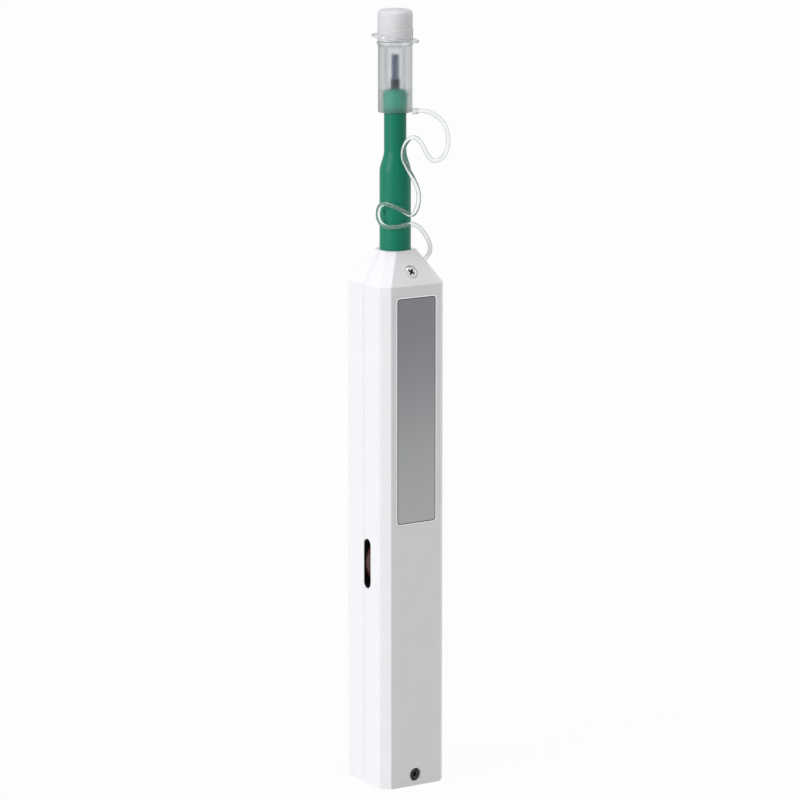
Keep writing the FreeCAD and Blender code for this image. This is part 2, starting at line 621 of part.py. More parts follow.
def reel_gear_phase():
    """Angle of one tooth of the reel's gear, so that it meshes with the pinion at rest."""
    line = math.atan2(PINION_Z - TAKE_UP_Z, PINION_X - TAKE_UP_X)
    tooth = 2 * math.pi / PINION_TEETH
    past_tooth = (line + math.pi) % tooth
    space = line + past_tooth * PINION_RADIUS / REEL_GEAR_RADIUS
    return space + math.pi / REEL_TEETH


def make_pinion():
    gear = make_gear(PINION_TEETH, 0.0, PINION_X, PINION_Z)
    hub = cylinder_y(PINION_RADIUS * 0.6, GEAR_BACK_Y, HUB_BACK_Y, PINION_X, PINION_Z)
    bore = cylinder_y(PINION_AXLE_RADIUS + SHAFT_GAP, GEAR_FRONT_Y - 1, HUB_BACK_Y + 1,
                      PINION_X, PINION_Z)
    return gear.fuse(hub).cut(bore).removeSplitter()


def wheel_outline(y):
    """Rim of the thumb wheel with its grip notches."""
    points = []
    step = 2 * math.pi / WHEEL_NOTCHES
    low = WHEEL_RADIUS - WHEEL_NOTCH_DEPTH
    for i in range(WHEEL_NOTCHES):
        for share, radius in ((-0.25, WHEEL_RADIUS), (0.25, WHEEL_RADIUS), (0.5, low)):
            angle = (i + share) * step
            points.append(V(radius * math.cos(angle), y, radius * math.sin(angle)))
    return Part.makePolygon(points + points[:1])


def make_take_up_reel():
    x = TAKE_UP_X
    z = TAKE_UP_Z
    wheel = Part.Face(wheel_outline(WHEEL_FRONT_Y)).extrude(V(0, WHEEL_WIDTH, 0))
    wheel.translate(V(x, 0, z))
    flange = cylinder_y(TAKE_UP_FLANGE_RADIUS, REEL_FRONT_Y, REEL_FRONT_Y + FLANGE_THICKNESS, x, z)
    drum = cylinder_y(DRUM_RADIUS, REEL_FRONT_Y, WHEEL_FRONT_Y, x, z)
    hub = cylinder_y(HUB_RADIUS, WHEEL_BACK_Y, HUB_BACK_Y, x, z)
    gear = make_gear(REEL_TEETH, reel_gear_phase(), x, z)
    bore = cylinder_y(AXLE_RADIUS + SHAFT_GAP, REEL_FRONT_Y - 1, HUB_BACK_Y + 1, x, z)
    return wheel.fuse(flange).fuse(drum).fuse(hub).fuse(gear).cut(bore).removeSplitter()


def make_thread_pack(radius, y0, y1, x, z):
    """Wound thread as one ring on the drum."""
    return cylinder_y(radius, y0, y1, x, z).cut(cylinder_y(DRUM_RADIUS + FIT_GAP, y0, y1, x, z))


def make_supply_reel():
    z = SUPPLY_Z
    flange = SUPPLY_FLANGE_RADIUS
    front = cylinder_y(flange, REEL_FRONT_Y, REEL_FRONT_Y + FLANGE_THICKNESS, 0, z)
    rear = cylinder_y(flange, SUPPLY_REAR_Y - FLANGE_THICKNESS, SUPPLY_REAR_Y, 0, z)
    drum = cylinder_y(DRUM_RADIUS, REEL_FRONT_Y, SUPPLY_REAR_Y, 0, z)
    bore = cylinder_y(AXLE_RADIUS + SHAFT_GAP, REEL_FRONT_Y - 1, SUPPLY_REAR_Y + 1, 0, z)
    return front.fuse(rear).fuse(drum).cut(bore).removeSplitter()


def make_brake_washer():
    front = WASHER_BACK_Y - WASHER_THICKNESS
    ring = cylinder_y(WASHER_RADIUS, front, WASHER_BACK_Y, 0, SUPPLY_Z)
    return ring.cut(cylinder_y(AXLE_RADIUS + FIT_GAP, front - 1, WASHER_BACK_Y + 1, 0, SUPPLY_Z))


# ---------------------------------------------------------------- sliding nozzle

def make_slider_carriage():
    block = casing_form(WALL + RUN_GAP).common(slab(CARRIAGE_BOTTOM_Z, CARRIAGE_TOP_Z))
    socket = cylinder_z(BARREL_RADIUS + FIT_GAP / 2, BARREL_BOTTOM_Z, CARRIAGE_TOP_Z + 1)
    pocket_z = CARRIAGE_BOTTOM_Z + CARRIAGE_FLOOR
    pocket = cylinder_z(COLLAR_POCKET_RADIUS, pocket_z, BARREL_BOTTOM_Z + 1)
    hole = cylinder_z(CARRIAGE_HOLE_RADIUS, CARRIAGE_BOTTOM_Z - 1, CARRIAGE_TOP_Z)
    arm_z = PINION_Z - 2 * TOOTH_PITCH - 2 * RACK_END
    arm = box(RACK_ROOT_X, RACK_ROOT_X + RACK_BACK, GEAR_FRONT_Y, GEAR_BACK_Y,
              arm_z, CARRIAGE_BOTTOM_Z + 1)
    carriage = block.cut(socket).cut(pocket).cut(hole).fuse(arm)
    for i in range(RACK_TEETH):
        carriage = carriage.fuse(make_rack_tooth(PINION_Z + TOOTH_PITCH * (i - 1.5)))
    return carriage.removeSplitter()


def make_rack_tooth(z):
    """One straight-flanked tooth that points at the pinion, centred at height z."""
    lean = math.tan(math.radians(PRESSURE_ANGLE))
    middle = TOOTH_PITCH / 4 * (1 - TOOTH_THINNING)
    low = middle + MODULE * TOOTH_DEDENDUM * lean
    high = middle - MODULE * TOOTH_ADDENDUM * lean
    tip_x = RACK_PITCH_X - MODULE * TOOTH_ADDENDUM
    inside_x = RACK_ROOT_X + FIT_GAP
    points = [V(x, GEAR_FRONT_Y, z + dz) for x, dz in (
        (inside_x, -low), (RACK_ROOT_X, -low), (tip_x, -high), (tip_x, high), (RACK_ROOT_X, low),
        (inside_x, low))]
    return Part.Face(Part.makePolygon(points + points[:1])).extrude(V(0, GEAR_WIDTH, 0))


def make_nozzle_barrel():
    """Stepped barrel: wide part, cone, neck, and the domed head that the cap sits on."""
    tip_hole = SPINDLE_RADIUS + TIP_GAP
    land_z = HEAD_TOP_Z - DOME_HEIGHT / 2
    bore_top_z = BARREL_CONE_Z - CONE_HEIGHT / 2
    drop = (HEAD_RADIUS ** 2 - DOME_TOP_RADIUS ** 2 - DOME_HEIGHT ** 2) / (2 * DOME_HEIGHT)
    dome_radius = math.hypot(HEAD_RADIUS, drop)
    half_way = (math.atan2(HEAD_RADIUS, drop) + math.atan2(DOME_TOP_RADIUS, drop + DOME_HEIGHT)) / 2
    return revolved([
        (BARREL_BORE_RADIUS, BARREL_BOTTOM_Z), (BARREL_RADIUS, BARREL_BOTTOM_Z),
        (BARREL_RADIUS, BARREL_CONE_Z), (NECK_RADIUS, NECK_Z), (NECK_RADIUS, HEAD_Z),
        (HEAD_RADIUS, HEAD_Z), (HEAD_RADIUS, HEAD_TOP_Z),
        (dome_radius * math.sin(half_way), HEAD_TOP_Z - drop + dome_radius * math.cos(half_way)),
        (DOME_TOP_RADIUS, DOME_TOP_Z), (tip_hole, DOME_TOP_Z), (tip_hole, land_z),
        (NECK_BORE_RADIUS, land_z), (NECK_BORE_RADIUS, bore_top_z),
        (BARREL_BORE_RADIUS, bore_top_z)])


def make_tip_spindle():
    """Rod through the barrel, with its trapped collar and the grooved cam at its foot."""
    low = CARRIAGE_BOTTOM_Z + CARRIAGE_FLOOR + (COLLAR_POCKET_HEIGHT - COLLAR_HEIGHT) / 2
    high = low + COLLAR_HEIGHT
    edge = CAM_RADIUS * 0.2
    spindle = revolved([
        (0, CAM_BOTTOM_Z), (CAM_RADIUS - edge, CAM_BOTTOM_Z), (CAM_RADIUS, CAM_BOTTOM_Z + edge),
        (CAM_RADIUS, CAM_TOP_Z), (SPINDLE_RADIUS, CAM_TOP_Z + CAM_RADIUS - SPINDLE_RADIUS),
        (SPINDLE_RADIUS, low), (COLLAR_RADIUS, low), (COLLAR_RADIUS, high), (SPINDLE_RADIUS, high),
        (SPINDLE_RADIUS, TIP_COLLAR_Z), (0, TIP_COLLAR_Z)])
    height = STROKE + 2 * GROOVE_RUN_OUT
    helix = Part.makeHelix(GROOVE_LEAD, height, CAM_RADIUS)
    rise = GROOVE_LEAD / (2 * math.pi * CAM_RADIUS)
    ring = Part.Wire(Part.Circle(V(CAM_RADIUS, 0, 0), V(0, 1, rise), GROOVE_RADIUS).toShape())
    groove = Part.Wire(helix).makePipeShell([ring], True, True)
    groove.rotate(V(0, 0, 0), V(0, 0, 1), 180 - 360 * GROOVE_RUN_OUT / GROOVE_LEAD)
    groove.translate(V(0, 0, CAM_PIN_Z - GROOVE_RUN_OUT))
    return spindle.cut(groove)


def make_tip_collar():
    return cylinder_z(TIP_COLLAR_RADIUS, TIP_COLLAR_Z, TIP_COLLAR_Z + TIP_COLLAR_HEIGHT)


def make_cleaning_tip():
    """Tip with a flat across its end for the thread."""
    low = TIP_COLLAR_Z + TIP_COLLAR_HEIGHT
    tip = revolved([(0, low), (TIP_RADIUS, low), (TIP_RADIUS, TIP_TOP_Z - TIP_EDGE),
                    (TIP_RADIUS - TIP_EDGE, TIP_TOP_Z), (0, TIP_TOP_Z)])
    return tip.cut(thread_loop(FIT_GAP / 5, low))


def thread_loop(grow, low):
    """The thread's band up one side of the tip, over its end and down the other side."""
    half = THREAD_WIDTH / 2 + grow
    inner = TIP_RADIUS - THREAD_THICKNESS - grow
    top = TIP_TOP_Z - THREAD_THICKNESS - grow
    outer = TIP_RADIUS + grow
    band = box(-half, half, -outer, outer, low, TIP_TOP_Z + grow)
    return band.cut(box(-half - 1, half + 1, -inner, inner, low - 1, top))


def make_tip_thread():
    return thread_loop(0, TIP_COLLAR_Z + TIP_COLLAR_HEIGHT)


def make_return_spring():
    """Coil of straight runs, so that its many turns stay light."""
    low = SEAT_TOP_Z + SPRING_WIRE_RADIUS + FIT_GAP
    high = CARRIAGE_BOTTOM_Z - SPRING_WIRE_RADIUS - FIT_GAP
    count = SPRING_TURNS * SPRING_RUNS
    points = []
    for i in range(count + 1):
        angle = 2 * math.pi * i / SPRING_RUNS
        z = low + (high - low) * i / count
        points.append(V(SPRING_RADIUS * math.cos(angle), SPRING_RADIUS * math.sin(angle), z))
    section = wire_section(points[0], points[1] - points[0], SPRING_WIRE_RADIUS)
    return Part.makePolygon(points).makePipeShell([section], True, False, 1)


# ---------------------------------------------------------------- guide cap and lid

def make_guide_cap():
    """Hollow sleeve over the head, with a flange, a neck for the lid and the cord's lug."""
    socket = HEAD_RADIUS + SHAFT_GAP
    sleeve = revolved([
        (socket, CAP_BOTTOM_Z), (CAP_RADIUS - CAP_EDGE, CAP_BOTTOM_Z),
        (CAP_RADIUS, CAP_BOTTOM_Z + CAP_EDGE), (CAP_RADIUS, CAP_FLANGE_Z - CAP_EDGE),
        (CAP_FLANGE_RADIUS, CAP_FLANGE_Z), (CAP_FLANGE_RADIUS, CAP_FLANGE_TOP_Z),
        (CAP_NECK_RADIUS, CAP_FLANGE_TOP_Z), (CAP_NECK_RADIUS, CAP_NECK_TOP_Z),
        (CAP_PORT_RADIUS, CAP_NECK_TOP_Z), (CAP_PORT_RADIUS, CAP_PORT_Z),
        (CAP_BORE_RADIUS, CAP_PORT_Z), (CAP_BORE_RADIUS, CAP_SOCKET_TOP_Z),
        (socket, CAP_SOCKET_TOP_Z)])
    lug = box(HEAD_RADIUS + WALL / 2, CAP_RADIUS + EYELET_REACH, -EYELET_WIDTH / 2, EYELET_WIDTH / 2,
              EYELET_BOTTOM_Z, EYELET_BOTTOM_Z + EYELET_HEIGHT)
    lug.rotate(V(0, 0, 0), V(0, 0, 1), EYELET_ANGLE)
    return sleeve.fuse(lug).removeSplitter()


def make_cap_lid():
    """Cup over the guide cap's neck: skirt, bead, plain wall and a rounded top."""
    low = CAP_FLANGE_TOP_Z + FIT_GAP
    inner = CAP_NECK_RADIUS + SHAFT_GAP
    ceiling = LID_TOP_Z - LID_TOP
    bead_top = LID_SKIRT_TOP_Z + LID_BEAD_HEIGHT
    cut_in = (1 - math.sqrt(0.5)) * LID_ROUNDING
    lid = revolved([
        (inner, low), (LID_SKIRT_RADIUS, low), (LID_SKIRT_RADIUS, LID_SKIRT_TOP_Z),
        (LID_BEAD_RADIUS, LID_SKIRT_TOP_Z + LID_BEAD_HEIGHT / 2), (LID_RADIUS, bead_top),
        (LID_RADIUS, LID_TOP_Z - LID_ROUNDING), (LID_RADIUS - cut_in, LID_TOP_Z - cut_in),
        (LID_RADIUS - LID_ROUNDING, LID_TOP_Z), (0, LID_TOP_Z), (0, ceiling), (inner, ceiling)])
    gate = cylinder_z(GATE_RADIUS, LID_TOP_Z - LID_TOP / 2, LID_TOP_Z + GATE_HEIGHT, GATE_OFFSET)
    return lid.fuse(gate).removeSplitter()


def make_lid_ring():
    """Loose ring round the lid's skirt, longer than wide and higher at its left end."""
    half_run = RING_SIDE - RING_FRONT
    points = []
    for i in range(RING_RUNS):
        angle = 2 * math.pi * (i + 0.5) / RING_RUNS
        side = math.copysign(half_run, math.cos(angle))
        points.append(V(side + RING_FRONT * math.cos(angle), RING_FRONT * math.sin(angle), 0))
    start = (points[-1] + points[0]) * 0.5
    path = Part.makePolygon([start] + points + [start])
    ring = path.makePipeShell([wire_section(start, points[0] - start, RING_WIRE_RADIUS)], True, False, 1)
    ring.rotate(V(0, 0, 0), V(0, 1, 0), RING_TILT)
    ring.rotate(V(0, 0, 0), V(0, 0, 1), EYELET_ANGLE)
    ring.translate(V(0, 0, CAP_FLANGE_TOP_Z + RING_RISE))
    return ring


# ---------------------------------------------------------------- tether cord

def round_axis(angle, distance, z):
    turn = math.radians(angle)
    return V(distance * math.cos(turn), distance * math.sin(turn), z)


def lower_corners():
    return [round_axis(angle, BARREL_RADIUS + out, TOP_Z + rise) for angle, out, rise in LOWER_ROUTE]


def upper_corners():
    return [round_axis(angle, BARREL_RADIUS + out, CAP_BOTTOM_Z - drop)
            for angle, out, drop in UPPER_ROUTE]


def meeting_point():
    """Where the two runs of cord meet, in the middle of one straight run."""
    return (lower_corners()[-1] + upper_corners()[0]) * 0.5


def lower_route():
    """From the knot's outer end through the casing's wall to the meeting point."""
    point, normal = right_slope_place(TETHER_SHARE)
    exit_run = [point - normal * WALL, point + normal * TETHER_EXIT]
    return exit_run + lower_corners() + [meeting_point()]


def upper_route():
    """From the meeting point to the outer face of the cap's lug."""
    z = EYELET_BOTTOM_Z + EYELET_HEIGHT / 2
    reach = CAP_RADIUS + EYELET_REACH
    exit_run = [round_axis(EYELET_ANGLE, reach + EYELET_EXIT, z), round_axis(EYELET_ANGLE, reach, z)]
    return [meeting_point()] + upper_corners() + exit_run


def make_cord(points):
    """Round cord along the points, each corner an arc as large as its runs allow."""
    edges = []
    radii = []
    at = points[0]
    for i in range(1, len(points) - 1):
        corner = points[i]
        back = points[i - 1] - corner
        ahead = points[i + 1] - corner
        reach = ARC_SHARE * min(back.Length, ahead.Length)
        half_turn = (math.pi - back.getAngle(ahead)) / 2
        radius = reach / math.tan(half_turn)
        radii.append(round(radius, 2))
        to_last = back.normalize()
        to_next = ahead.normalize()
        start = corner + to_last * reach
        stop = corner + to_next * reach
        inward = (to_last + to_next).normalize()
        middle = corner + inward * (radius / math.cos(half_turn) - radius)
        edges.append(Part.LineSegment(at, start).toShape())
        edges.append(Part.Arc(start, middle, stop).toShape())
        at = stop
    edges.append(Part.LineSegment(at, points[-1]).toShape())
    section = wire_section(points[0], points[1] - points[0], CORD_RADIUS)
    path = Part.Wire(edges)
    cord = path.makePipeShell([section], True, True)
    straight_volume = math.pi * CORD_RADIUS ** 2 * path.Length
    print("cord length", round(path.Length, 2), "volume share", round(cord.Volume / straight_volume, 4))
    print("cord radii", radii)
    return cord


def make_tether_knot():
    """End of the cord, thickened into a plug and trapped behind the shoulder's wall."""
    point, normal = right_slope_place(TETHER_SHARE)
    plug = Part.makeCylinder(KNOT_RADIUS, KNOT_LENGTH)
    return turned_to(plug, point - normal * (WALL + KNOT_LENGTH), normal)


# ---------------------------------------------------------------- all pieces

def make_pieces():
    pack_front = REEL_FRONT_Y + FLANGE_THICKNESS + FIT_GAP
    return {
        "rear_shell": make_rear_shell(),
        "front_shell": make_front_shell(),
        "label_plate": label_form(FIT_GAP),
        "cover_screws": make_cover_screws(),
        "nozzle_guide": make_nozzle_guide(),
        "take_up_axle": make_axle(AXLE_RADIUS, TAKE_UP_X, TAKE_UP_Z, -INNER + FIT_GAP),
        "supply_axle": make_axle(AXLE_RADIUS, 0, SUPPLY_Z, -INNER + FIT_GAP),
        "pinion_axle": make_axle(PINION_AXLE_RADIUS, PINION_X, PINION_Z, GEAR_FRONT_Y - BOSS_GAP),
        "cam_pin": make_cam_pin(),
        "ratchet_pawl": make_ratchet_pawl(),
        "brake_washer": make_brake_washer(),
        "return_spring": make_return_spring(),
        "tether_knot": make_tether_knot(),
        "tether_lower": make_cord(lower_route()),
        "drive_pinion": make_pinion(),
        "take_up_reel": make_take_up_reel(),
        "used_thread_pack": make_thread_pack(TAKE_UP_PACK_RADIUS, pack_front, WHEEL_FRONT_Y - FIT_GAP,
                                             TAKE_UP_X, TAKE_UP_Z),
        "supply_reel": make_supply_reel(),
        "clean_thread_pack": make_thread_pack(SUPPLY_PACK_RADIUS, pack_front,
                                              SUPPLY_REAR_Y - FLANGE_THICKNESS - FIT_GAP, 0, SUPPLY_Z),
        "slider_carriage": make_slider_carriage(),
        "nozzle_barrel": make_nozzle_barrel(),
        "tether_upper": make_cord(upper_route()),
        "tip_spindle": make_tip_spindle(),
        "tip_collar": make_tip_collar(),
        "cleaning_tip": make_cleaning_tip(),
        "tip_thread": make_tip_thread(),
        "guide_cap": make_guide_cap(),
        "cap_lid": make_cap_lid(),
        "lid_ring": make_lid_ring(),
    }


os.makedirs("parts", exist_ok=True)
for node, shape in make_pieces().items():
    print(node, "valid", shape.isValid(), "solids", len(shape.Solids), "volume", round(shape.Volume, 2))
    shape.exportStep("parts/" + node + ".step")
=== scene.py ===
"""Looks of the fibre connector cleaning pen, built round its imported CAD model."""

import math

import bmesh
import bpy
from bpy.props import FloatProperty, FloatVectorProperty, IntProperty, PointerProperty
from mathutils import Matrix, Vector


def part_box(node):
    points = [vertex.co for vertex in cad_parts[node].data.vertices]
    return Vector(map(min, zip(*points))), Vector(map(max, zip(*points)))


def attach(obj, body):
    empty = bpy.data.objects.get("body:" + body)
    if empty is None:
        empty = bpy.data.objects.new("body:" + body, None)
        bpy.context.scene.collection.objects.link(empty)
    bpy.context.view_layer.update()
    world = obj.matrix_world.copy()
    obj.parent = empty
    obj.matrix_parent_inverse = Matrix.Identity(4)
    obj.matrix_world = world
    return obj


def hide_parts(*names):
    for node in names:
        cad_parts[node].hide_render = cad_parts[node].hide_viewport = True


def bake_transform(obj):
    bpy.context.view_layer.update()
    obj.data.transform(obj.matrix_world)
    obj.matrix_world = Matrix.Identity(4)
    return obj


bl_info = {
    "name": "Cleaning pen looks",
    "version": (1, 0, 0),
    "blender": (4, 5, 0),
    "location": "3D View > Sidebar > Cleaning Pen",
    "description": "Builds the visible pieces, finishes and studio of a fibre connector cleaning pen",
    "category": "Object",
}

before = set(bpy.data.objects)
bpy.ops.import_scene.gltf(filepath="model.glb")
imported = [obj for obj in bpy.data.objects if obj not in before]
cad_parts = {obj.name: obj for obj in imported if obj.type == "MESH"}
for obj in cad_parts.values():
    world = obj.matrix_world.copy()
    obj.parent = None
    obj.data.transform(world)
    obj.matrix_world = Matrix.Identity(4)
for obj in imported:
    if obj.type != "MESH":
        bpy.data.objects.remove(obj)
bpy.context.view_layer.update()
MM = 0.001


def low(node):
    """Lowest corner of a CAD node, in millimetres."""
    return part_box(node)[0] / MM


def high(node):
    """Highest corner of a CAD node, in millimetres."""
    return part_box(node)[1] / MM


def middle(node):
    """Middle of a CAD node, in millimetres."""
    return (low(node) + high(node)) / 2


def lit(red, green, blue):
    """Colour on the 0 to 255 display scale as a scene colour."""
    shares = [value / 255 for value in (red, green, blue)]
    return [s / 12.92 if s <= 0.04045 else ((s + 0.055) / 1.055) ** 2.4 for s in shares]


# ---------------------------------------------------------------- settings

def size(name, about, value):
    return FloatProperty(name=name, description=about, default=value * MM, min=0.0, unit="LENGTH",
                         precision=5)


def colour(name, about, red, green, blue):
    return FloatVectorProperty(name=name, description=about, default=lit(red, green, blue),
                               subtype="COLOR", min=0.0, max=1.0)


def strength(name, about, value):
    return FloatProperty(name=name, description=about, default=value, min=0.0)


class PenSizes(bpy.types.PropertyGroup):
    """Sizes of the pieces that the looks add to the CAD model."""

    cord_radius: size("Cord radius", "Half the thickness of the tether cord", 0.55)
    cord_root: size("Cord root", "Length of the flare where the cord grows out of the cap", 1.5)
    label_margin: size("Label margin", "Width of the white edge round the label's silver field", 0.304)
    label_line: size("Label line", "Width of the dark line round the silver field", 0.22)
    label_corner: size("Label corner", "Corner radius of the label", 0.9)
    cone_blend: size("Cone blend", "Rounding where the nozzle's cone starts and ends", 0.8)
    dome_round: size("Dome rounding", "Rounding of the nozzle's domed head", 1.9)
    sleeve_edge: size("Sleeve edge", "Rounding of the guide cap's rims", 0.22)
    lid_round: size("Lid rounding", "Rounding of the lid's top edge", 1.15)
    ring_wire: size("Ring wire", "Half the thickness of the loose ring's strand", 0.36)
    screw_slot: size("Screw slot", "Width of the arms of the screws' cross recess", 0.6)
    # the window's lining is painted shade: a dark sheet that darkens the opening
    shade_lining: size("Window edging", "Thickness of the window's edging", 0.2)
    knurl_depth: size("Grip depth", "Height of the ridges on the thumb wheel", 0.14)
    knurl_count: IntProperty(name="Grip ridges", description="Ridges round the thumb wheel",
                             default=56, min=12, max=120)
    coil_wire: size("Coil wire", "Half the thickness of the return spring's wire", 0.3)
    coil_turns: IntProperty(name="Coil turns", description="Turns of the return spring",
                            default=9, min=3, max=20)


class PenColours(bpy.types.PropertyGroup):
    """Colours of the pen's finishes."""

    casing: colour("Casing", "White moulded plastic of the casing", 240, 239, 241)
    # painted reflection: the label's silver runs from light at its foot to dark at its top
    label_top_painted_reflection: colour("Label top", "Silver of the label at its upper end", 120, 122, 128)
    label_foot_painted_reflection: colour("Label foot", "Silver of the label at its lower end", 176, 178, 178)
    label_edge: colour("Label edge", "White edge of the label", 246, 246, 248)
    label_line: colour("Label line", "Dark line printed round the silver field", 62, 64, 68)
    nozzle: colour("Nozzle", "Green moulded plastic of the nozzle", 10, 124, 97)
    # partly painted light: the head's green is lightened for the glow and highlight seen through the
    # frosted cap
    head: colour("Nozzle head", "Lighter green of the nozzle's domed head", 34, 178, 147)
    cord: colour("Cord", "Clear plastic of the cord and ring", 246, 250, 249)
    # painted shade: the colours for where the cord, ring, cap and lid are seen edge on darken their edges
    cord_edge_shade: colour("Cord edge shade", "Clear plastic where it is seen edge on", 20, 30, 28)
    frosted: colour("Frosted cap", "Frosted plastic of the guide cap", 238, 241, 242)
    frosted_edge_shade: colour("Frosted cap edge shade", "Frosted plastic where it is seen edge on", 74, 80, 78)
    lid: colour("Lid", "Frosted plastic of the lid", 253, 252, 255)
    lid_edge_shade: colour("Lid edge shade", "Frosted plastic of the lid where it is seen edge on", 222, 222, 226)
    steel: colour("Steel", "Screws, axles and spring", 206, 206, 208)
    # painted shade: the base screw's steel is darkened to stand for the shade down in its well
    well_shade_steel: colour("Steel in painted shade", "Screw at the base, down in its well", 70, 68, 70)
    # painted shade: the cross recess is coloured near black for the shade inside it
    recess: colour("Screw recess", "Shade-painted steel in the screws' cross recess", 22, 21, 22)
    # partly painted shade: the reel's own reddish brown is darkened for the shade inside the casing
    reel: colour("Reel", "Brown plastic of the take-up reel", 66, 26, 24)
    collar: colour("Collar", "Dark plastic at the tip's foot", 6, 8, 12)
    tip: colour("Tip", "Blue-grey plastic of the cleaning tip", 56, 76, 112)
    # painted shade: near-black colour of the lining that darkens the window's opening
    shade_lining: colour("Window edging", "Black edging of the window in the casing", 16, 14, 15)
    inner: colour("Inner parts", "Natural plastic of the working parts", 226, 222, 208)
    thread: colour("Thread", "Cleaning thread", 238, 238, 234)
    worn_thread: colour("Worn thread", "Cleaning thread where it passes over the tip", 142, 152, 172)


class PenStudio(bpy.types.PropertyGroup):
    """Lights and floor of the studio."""

    key: strength("Key light", "Strength of the soft light from the left", 2.03)
    top: strength("Top light", "Strength of the soft light from above", 1.45)
    side: strength("Side light", "Strength of the soft light from the right", 0.38)
    fill: strength("Fill light", "Strength of the light from all round", 0.335)
    key_tint: colour("Key tint", "Colour of the light from the left", 252, 253, 255)
    fill_tint: colour("Fill tint", "Colour of the light from all round", 255, 252, 252)
    floor: colour("Floor", "Colour of the floor", 214, 214, 214)


def sizes():
    return bpy.context.scene.pen_sizes


def colours():
    return bpy.context.scene.pen_colours


# ---------------------------------------------------------------- mesh helpers

# distances in metres at which corners are merged, and within which one counts as found
MERGED, NEAR = 1e-7, 1e-6
# least share of a normal along a direction for a face that looks that way
FACING = 0.9
UPRIGHT = Matrix.Rotation(math.radians(90), 3, "X")


def shift(bm, vec):
    bmesh.ops.translate(bm, verts=bm.verts, vec=vec)


def stretch(bm, vec):
    bmesh.ops.scale(bm, verts=bm.verts, vec=vec)


def turn(bm, matrix):
    bmesh.ops.rotate(bm, verts=bm.verts, cent=(0, 0, 0), matrix=matrix)


def weld(bm):
    """Merges doubled corners and points the faces outwards."""
    bmesh.ops.remove_doubles(bm, verts=bm.verts, dist=MERGED)
    bmesh.ops.recalc_face_normals(bm, faces=bm.faces)


def full_spin(bm, steps):
    """Sweeps the whole bmesh once round Z."""
    bmesh.ops.spin(bm, geom=bm.verts[:] + bm.edges[:], cent=(0, 0, 0), axis=(0, 0, 1), dvec=(0, 0, 0),
                   angle=math.tau, steps=steps, use_merge=True, use_duplicate=False)
    weld(bm)


def spun(profile, steps=96):
    """Closed ring of revolution round Z from a closed outline of (radius, height) points."""
    bm = bmesh.new()
    corners = [bm.verts.new((r * MM, 0, z * MM)) for r, z in profile]
    # an edge on the axis would sweep no face
    for a, b in zip(corners, corners[1:] + corners[:1]):
        if a.co.x > 0 or b.co.x > 0:
            bm.edges.new((a, b))
    full_spin(bm, steps)
    return bm


def cuboid(vec):
    """Block of the given size round the origin, in metres."""
    bm = bmesh.new()
    bmesh.ops.create_cube(bm, size=1.0)
    stretch(bm, vec)
    return bm


def cone_at(place, foot_radius, top_radius, depth, segments):
    """Capped cone with its middle at a place, in metres."""
    bm = bmesh.new()
    bmesh.ops.create_cone(bm, cap_ends=True, segments=segments, radius1=foot_radius,
                          radius2=top_radius, depth=depth)
    shift(bm, place)
    return bm


def round_edges(bm, edges, reach, segments):
    bmesh.ops.bevel(bm, geom=edges, offset=reach, offset_type="OFFSET", affect="EDGES",
                    segments=segments, profile=0.5, clamp_overlap=True, material=-1)


def round_ring(bm, radius, height, reach, segments):
    """Rounds the edge that runs round the axis at a radius and height, in millimetres."""
    def on_ring(vert):
        return (abs(math.hypot(vert.co.x, vert.co.y) - radius * MM) < NEAR
                and abs(vert.co.z - height * MM) < NEAR)

    round_edges(bm, [e for e in bm.edges if on_ring(e.verts[0]) and on_ring(e.verts[1])], reach, segments)


def mesh_of(bm, name):
    """Mesh made from a bmesh, which is freed."""
    mesh = bpy.data.meshes.new(name)
    bm.to_mesh(mesh)
    bm.free()
    return mesh


def merge_in(bm, other):
    """Adds the other bmesh to the first, and frees it."""
    mesh = mesh_of(other, "part")
    bm.from_mesh(mesh)
    bpy.data.meshes.remove(mesh)


def placed(name, data):
    """New object in the scene."""
    thing = bpy.data.objects.new(name, data)
    bpy.context.scene.collection.objects.link(thing)
    return thing


def finish_piece(bm, name, material, body, stands_for=(), sharp=32):
    """Turns a bmesh into a piece that rides on a body."""
    mesh = mesh_of(bm, name)
    piece = placed(name, mesh)
    smooth_shade(mesh, sharp)
    mesh.materials.append(material)
    if body:
        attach(piece, body)
    if stands_for:
        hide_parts(*stands_for)
    return piece


def smooth_shade(mesh, sharp):
    mesh.polygons.foreach_set("use_smooth", [True] * len(mesh.polygons))
    mesh.set_sharp_from_angle(angle=math.radians(sharp))


def coat_node(node, material):
    """Gives a CAD node its finish."""
    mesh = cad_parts[node].data
    mesh.materials.clear()
    mesh.materials.append(material)


# ---------------------------------------------------------------- finishes

# depth of the relief of smooth surfaces, printed foil and wound thread, in metres
SMOOTH_RELIEF, FOIL_RELIEF, THREAD_RELIEF = 0.000003, 0.000002, 0.00004


def node_group(name, inputs, outputs):
    """Empty shader node group with float inputs and outputs, and its two end nodes."""
    group = bpy.data.node_groups.new(name, "ShaderNodeTree")
    for label, value in inputs:
        socket = group.interface.new_socket(label, in_out="INPUT", socket_type="NodeSocketFloat")
        socket.default_value = value
    for label in outputs:
        group.interface.new_socket(label, in_out="OUTPUT", socket_type="NodeSocketFloat")
    return group, group.nodes.new("NodeGroupInput"), group.nodes.new("NodeGroupOutput")


def math_node(tree, operation, first, second):
    node = tree.nodes.new("ShaderNodeMath")
    node.operation = operation
    for socket, value in zip(node.inputs, (first, second)):
        if isinstance(value, bpy.types.NodeSocket):
            tree.links.new(value, socket)
        else:
            socket.default_value = value
    return node.outputs[0]


def own_place(tree):
    """Socket with a piece's own coordinates."""
    return tree.nodes.new("ShaderNodeTexCoord").outputs["Object"]


def noise_over(tree, place, detail):
    noise = tree.nodes.new("ShaderNodeTexNoise")
    noise.inputs["Detail"].default_value = detail
    tree.links.new(place, noise.inputs["Vector"])
    return noise


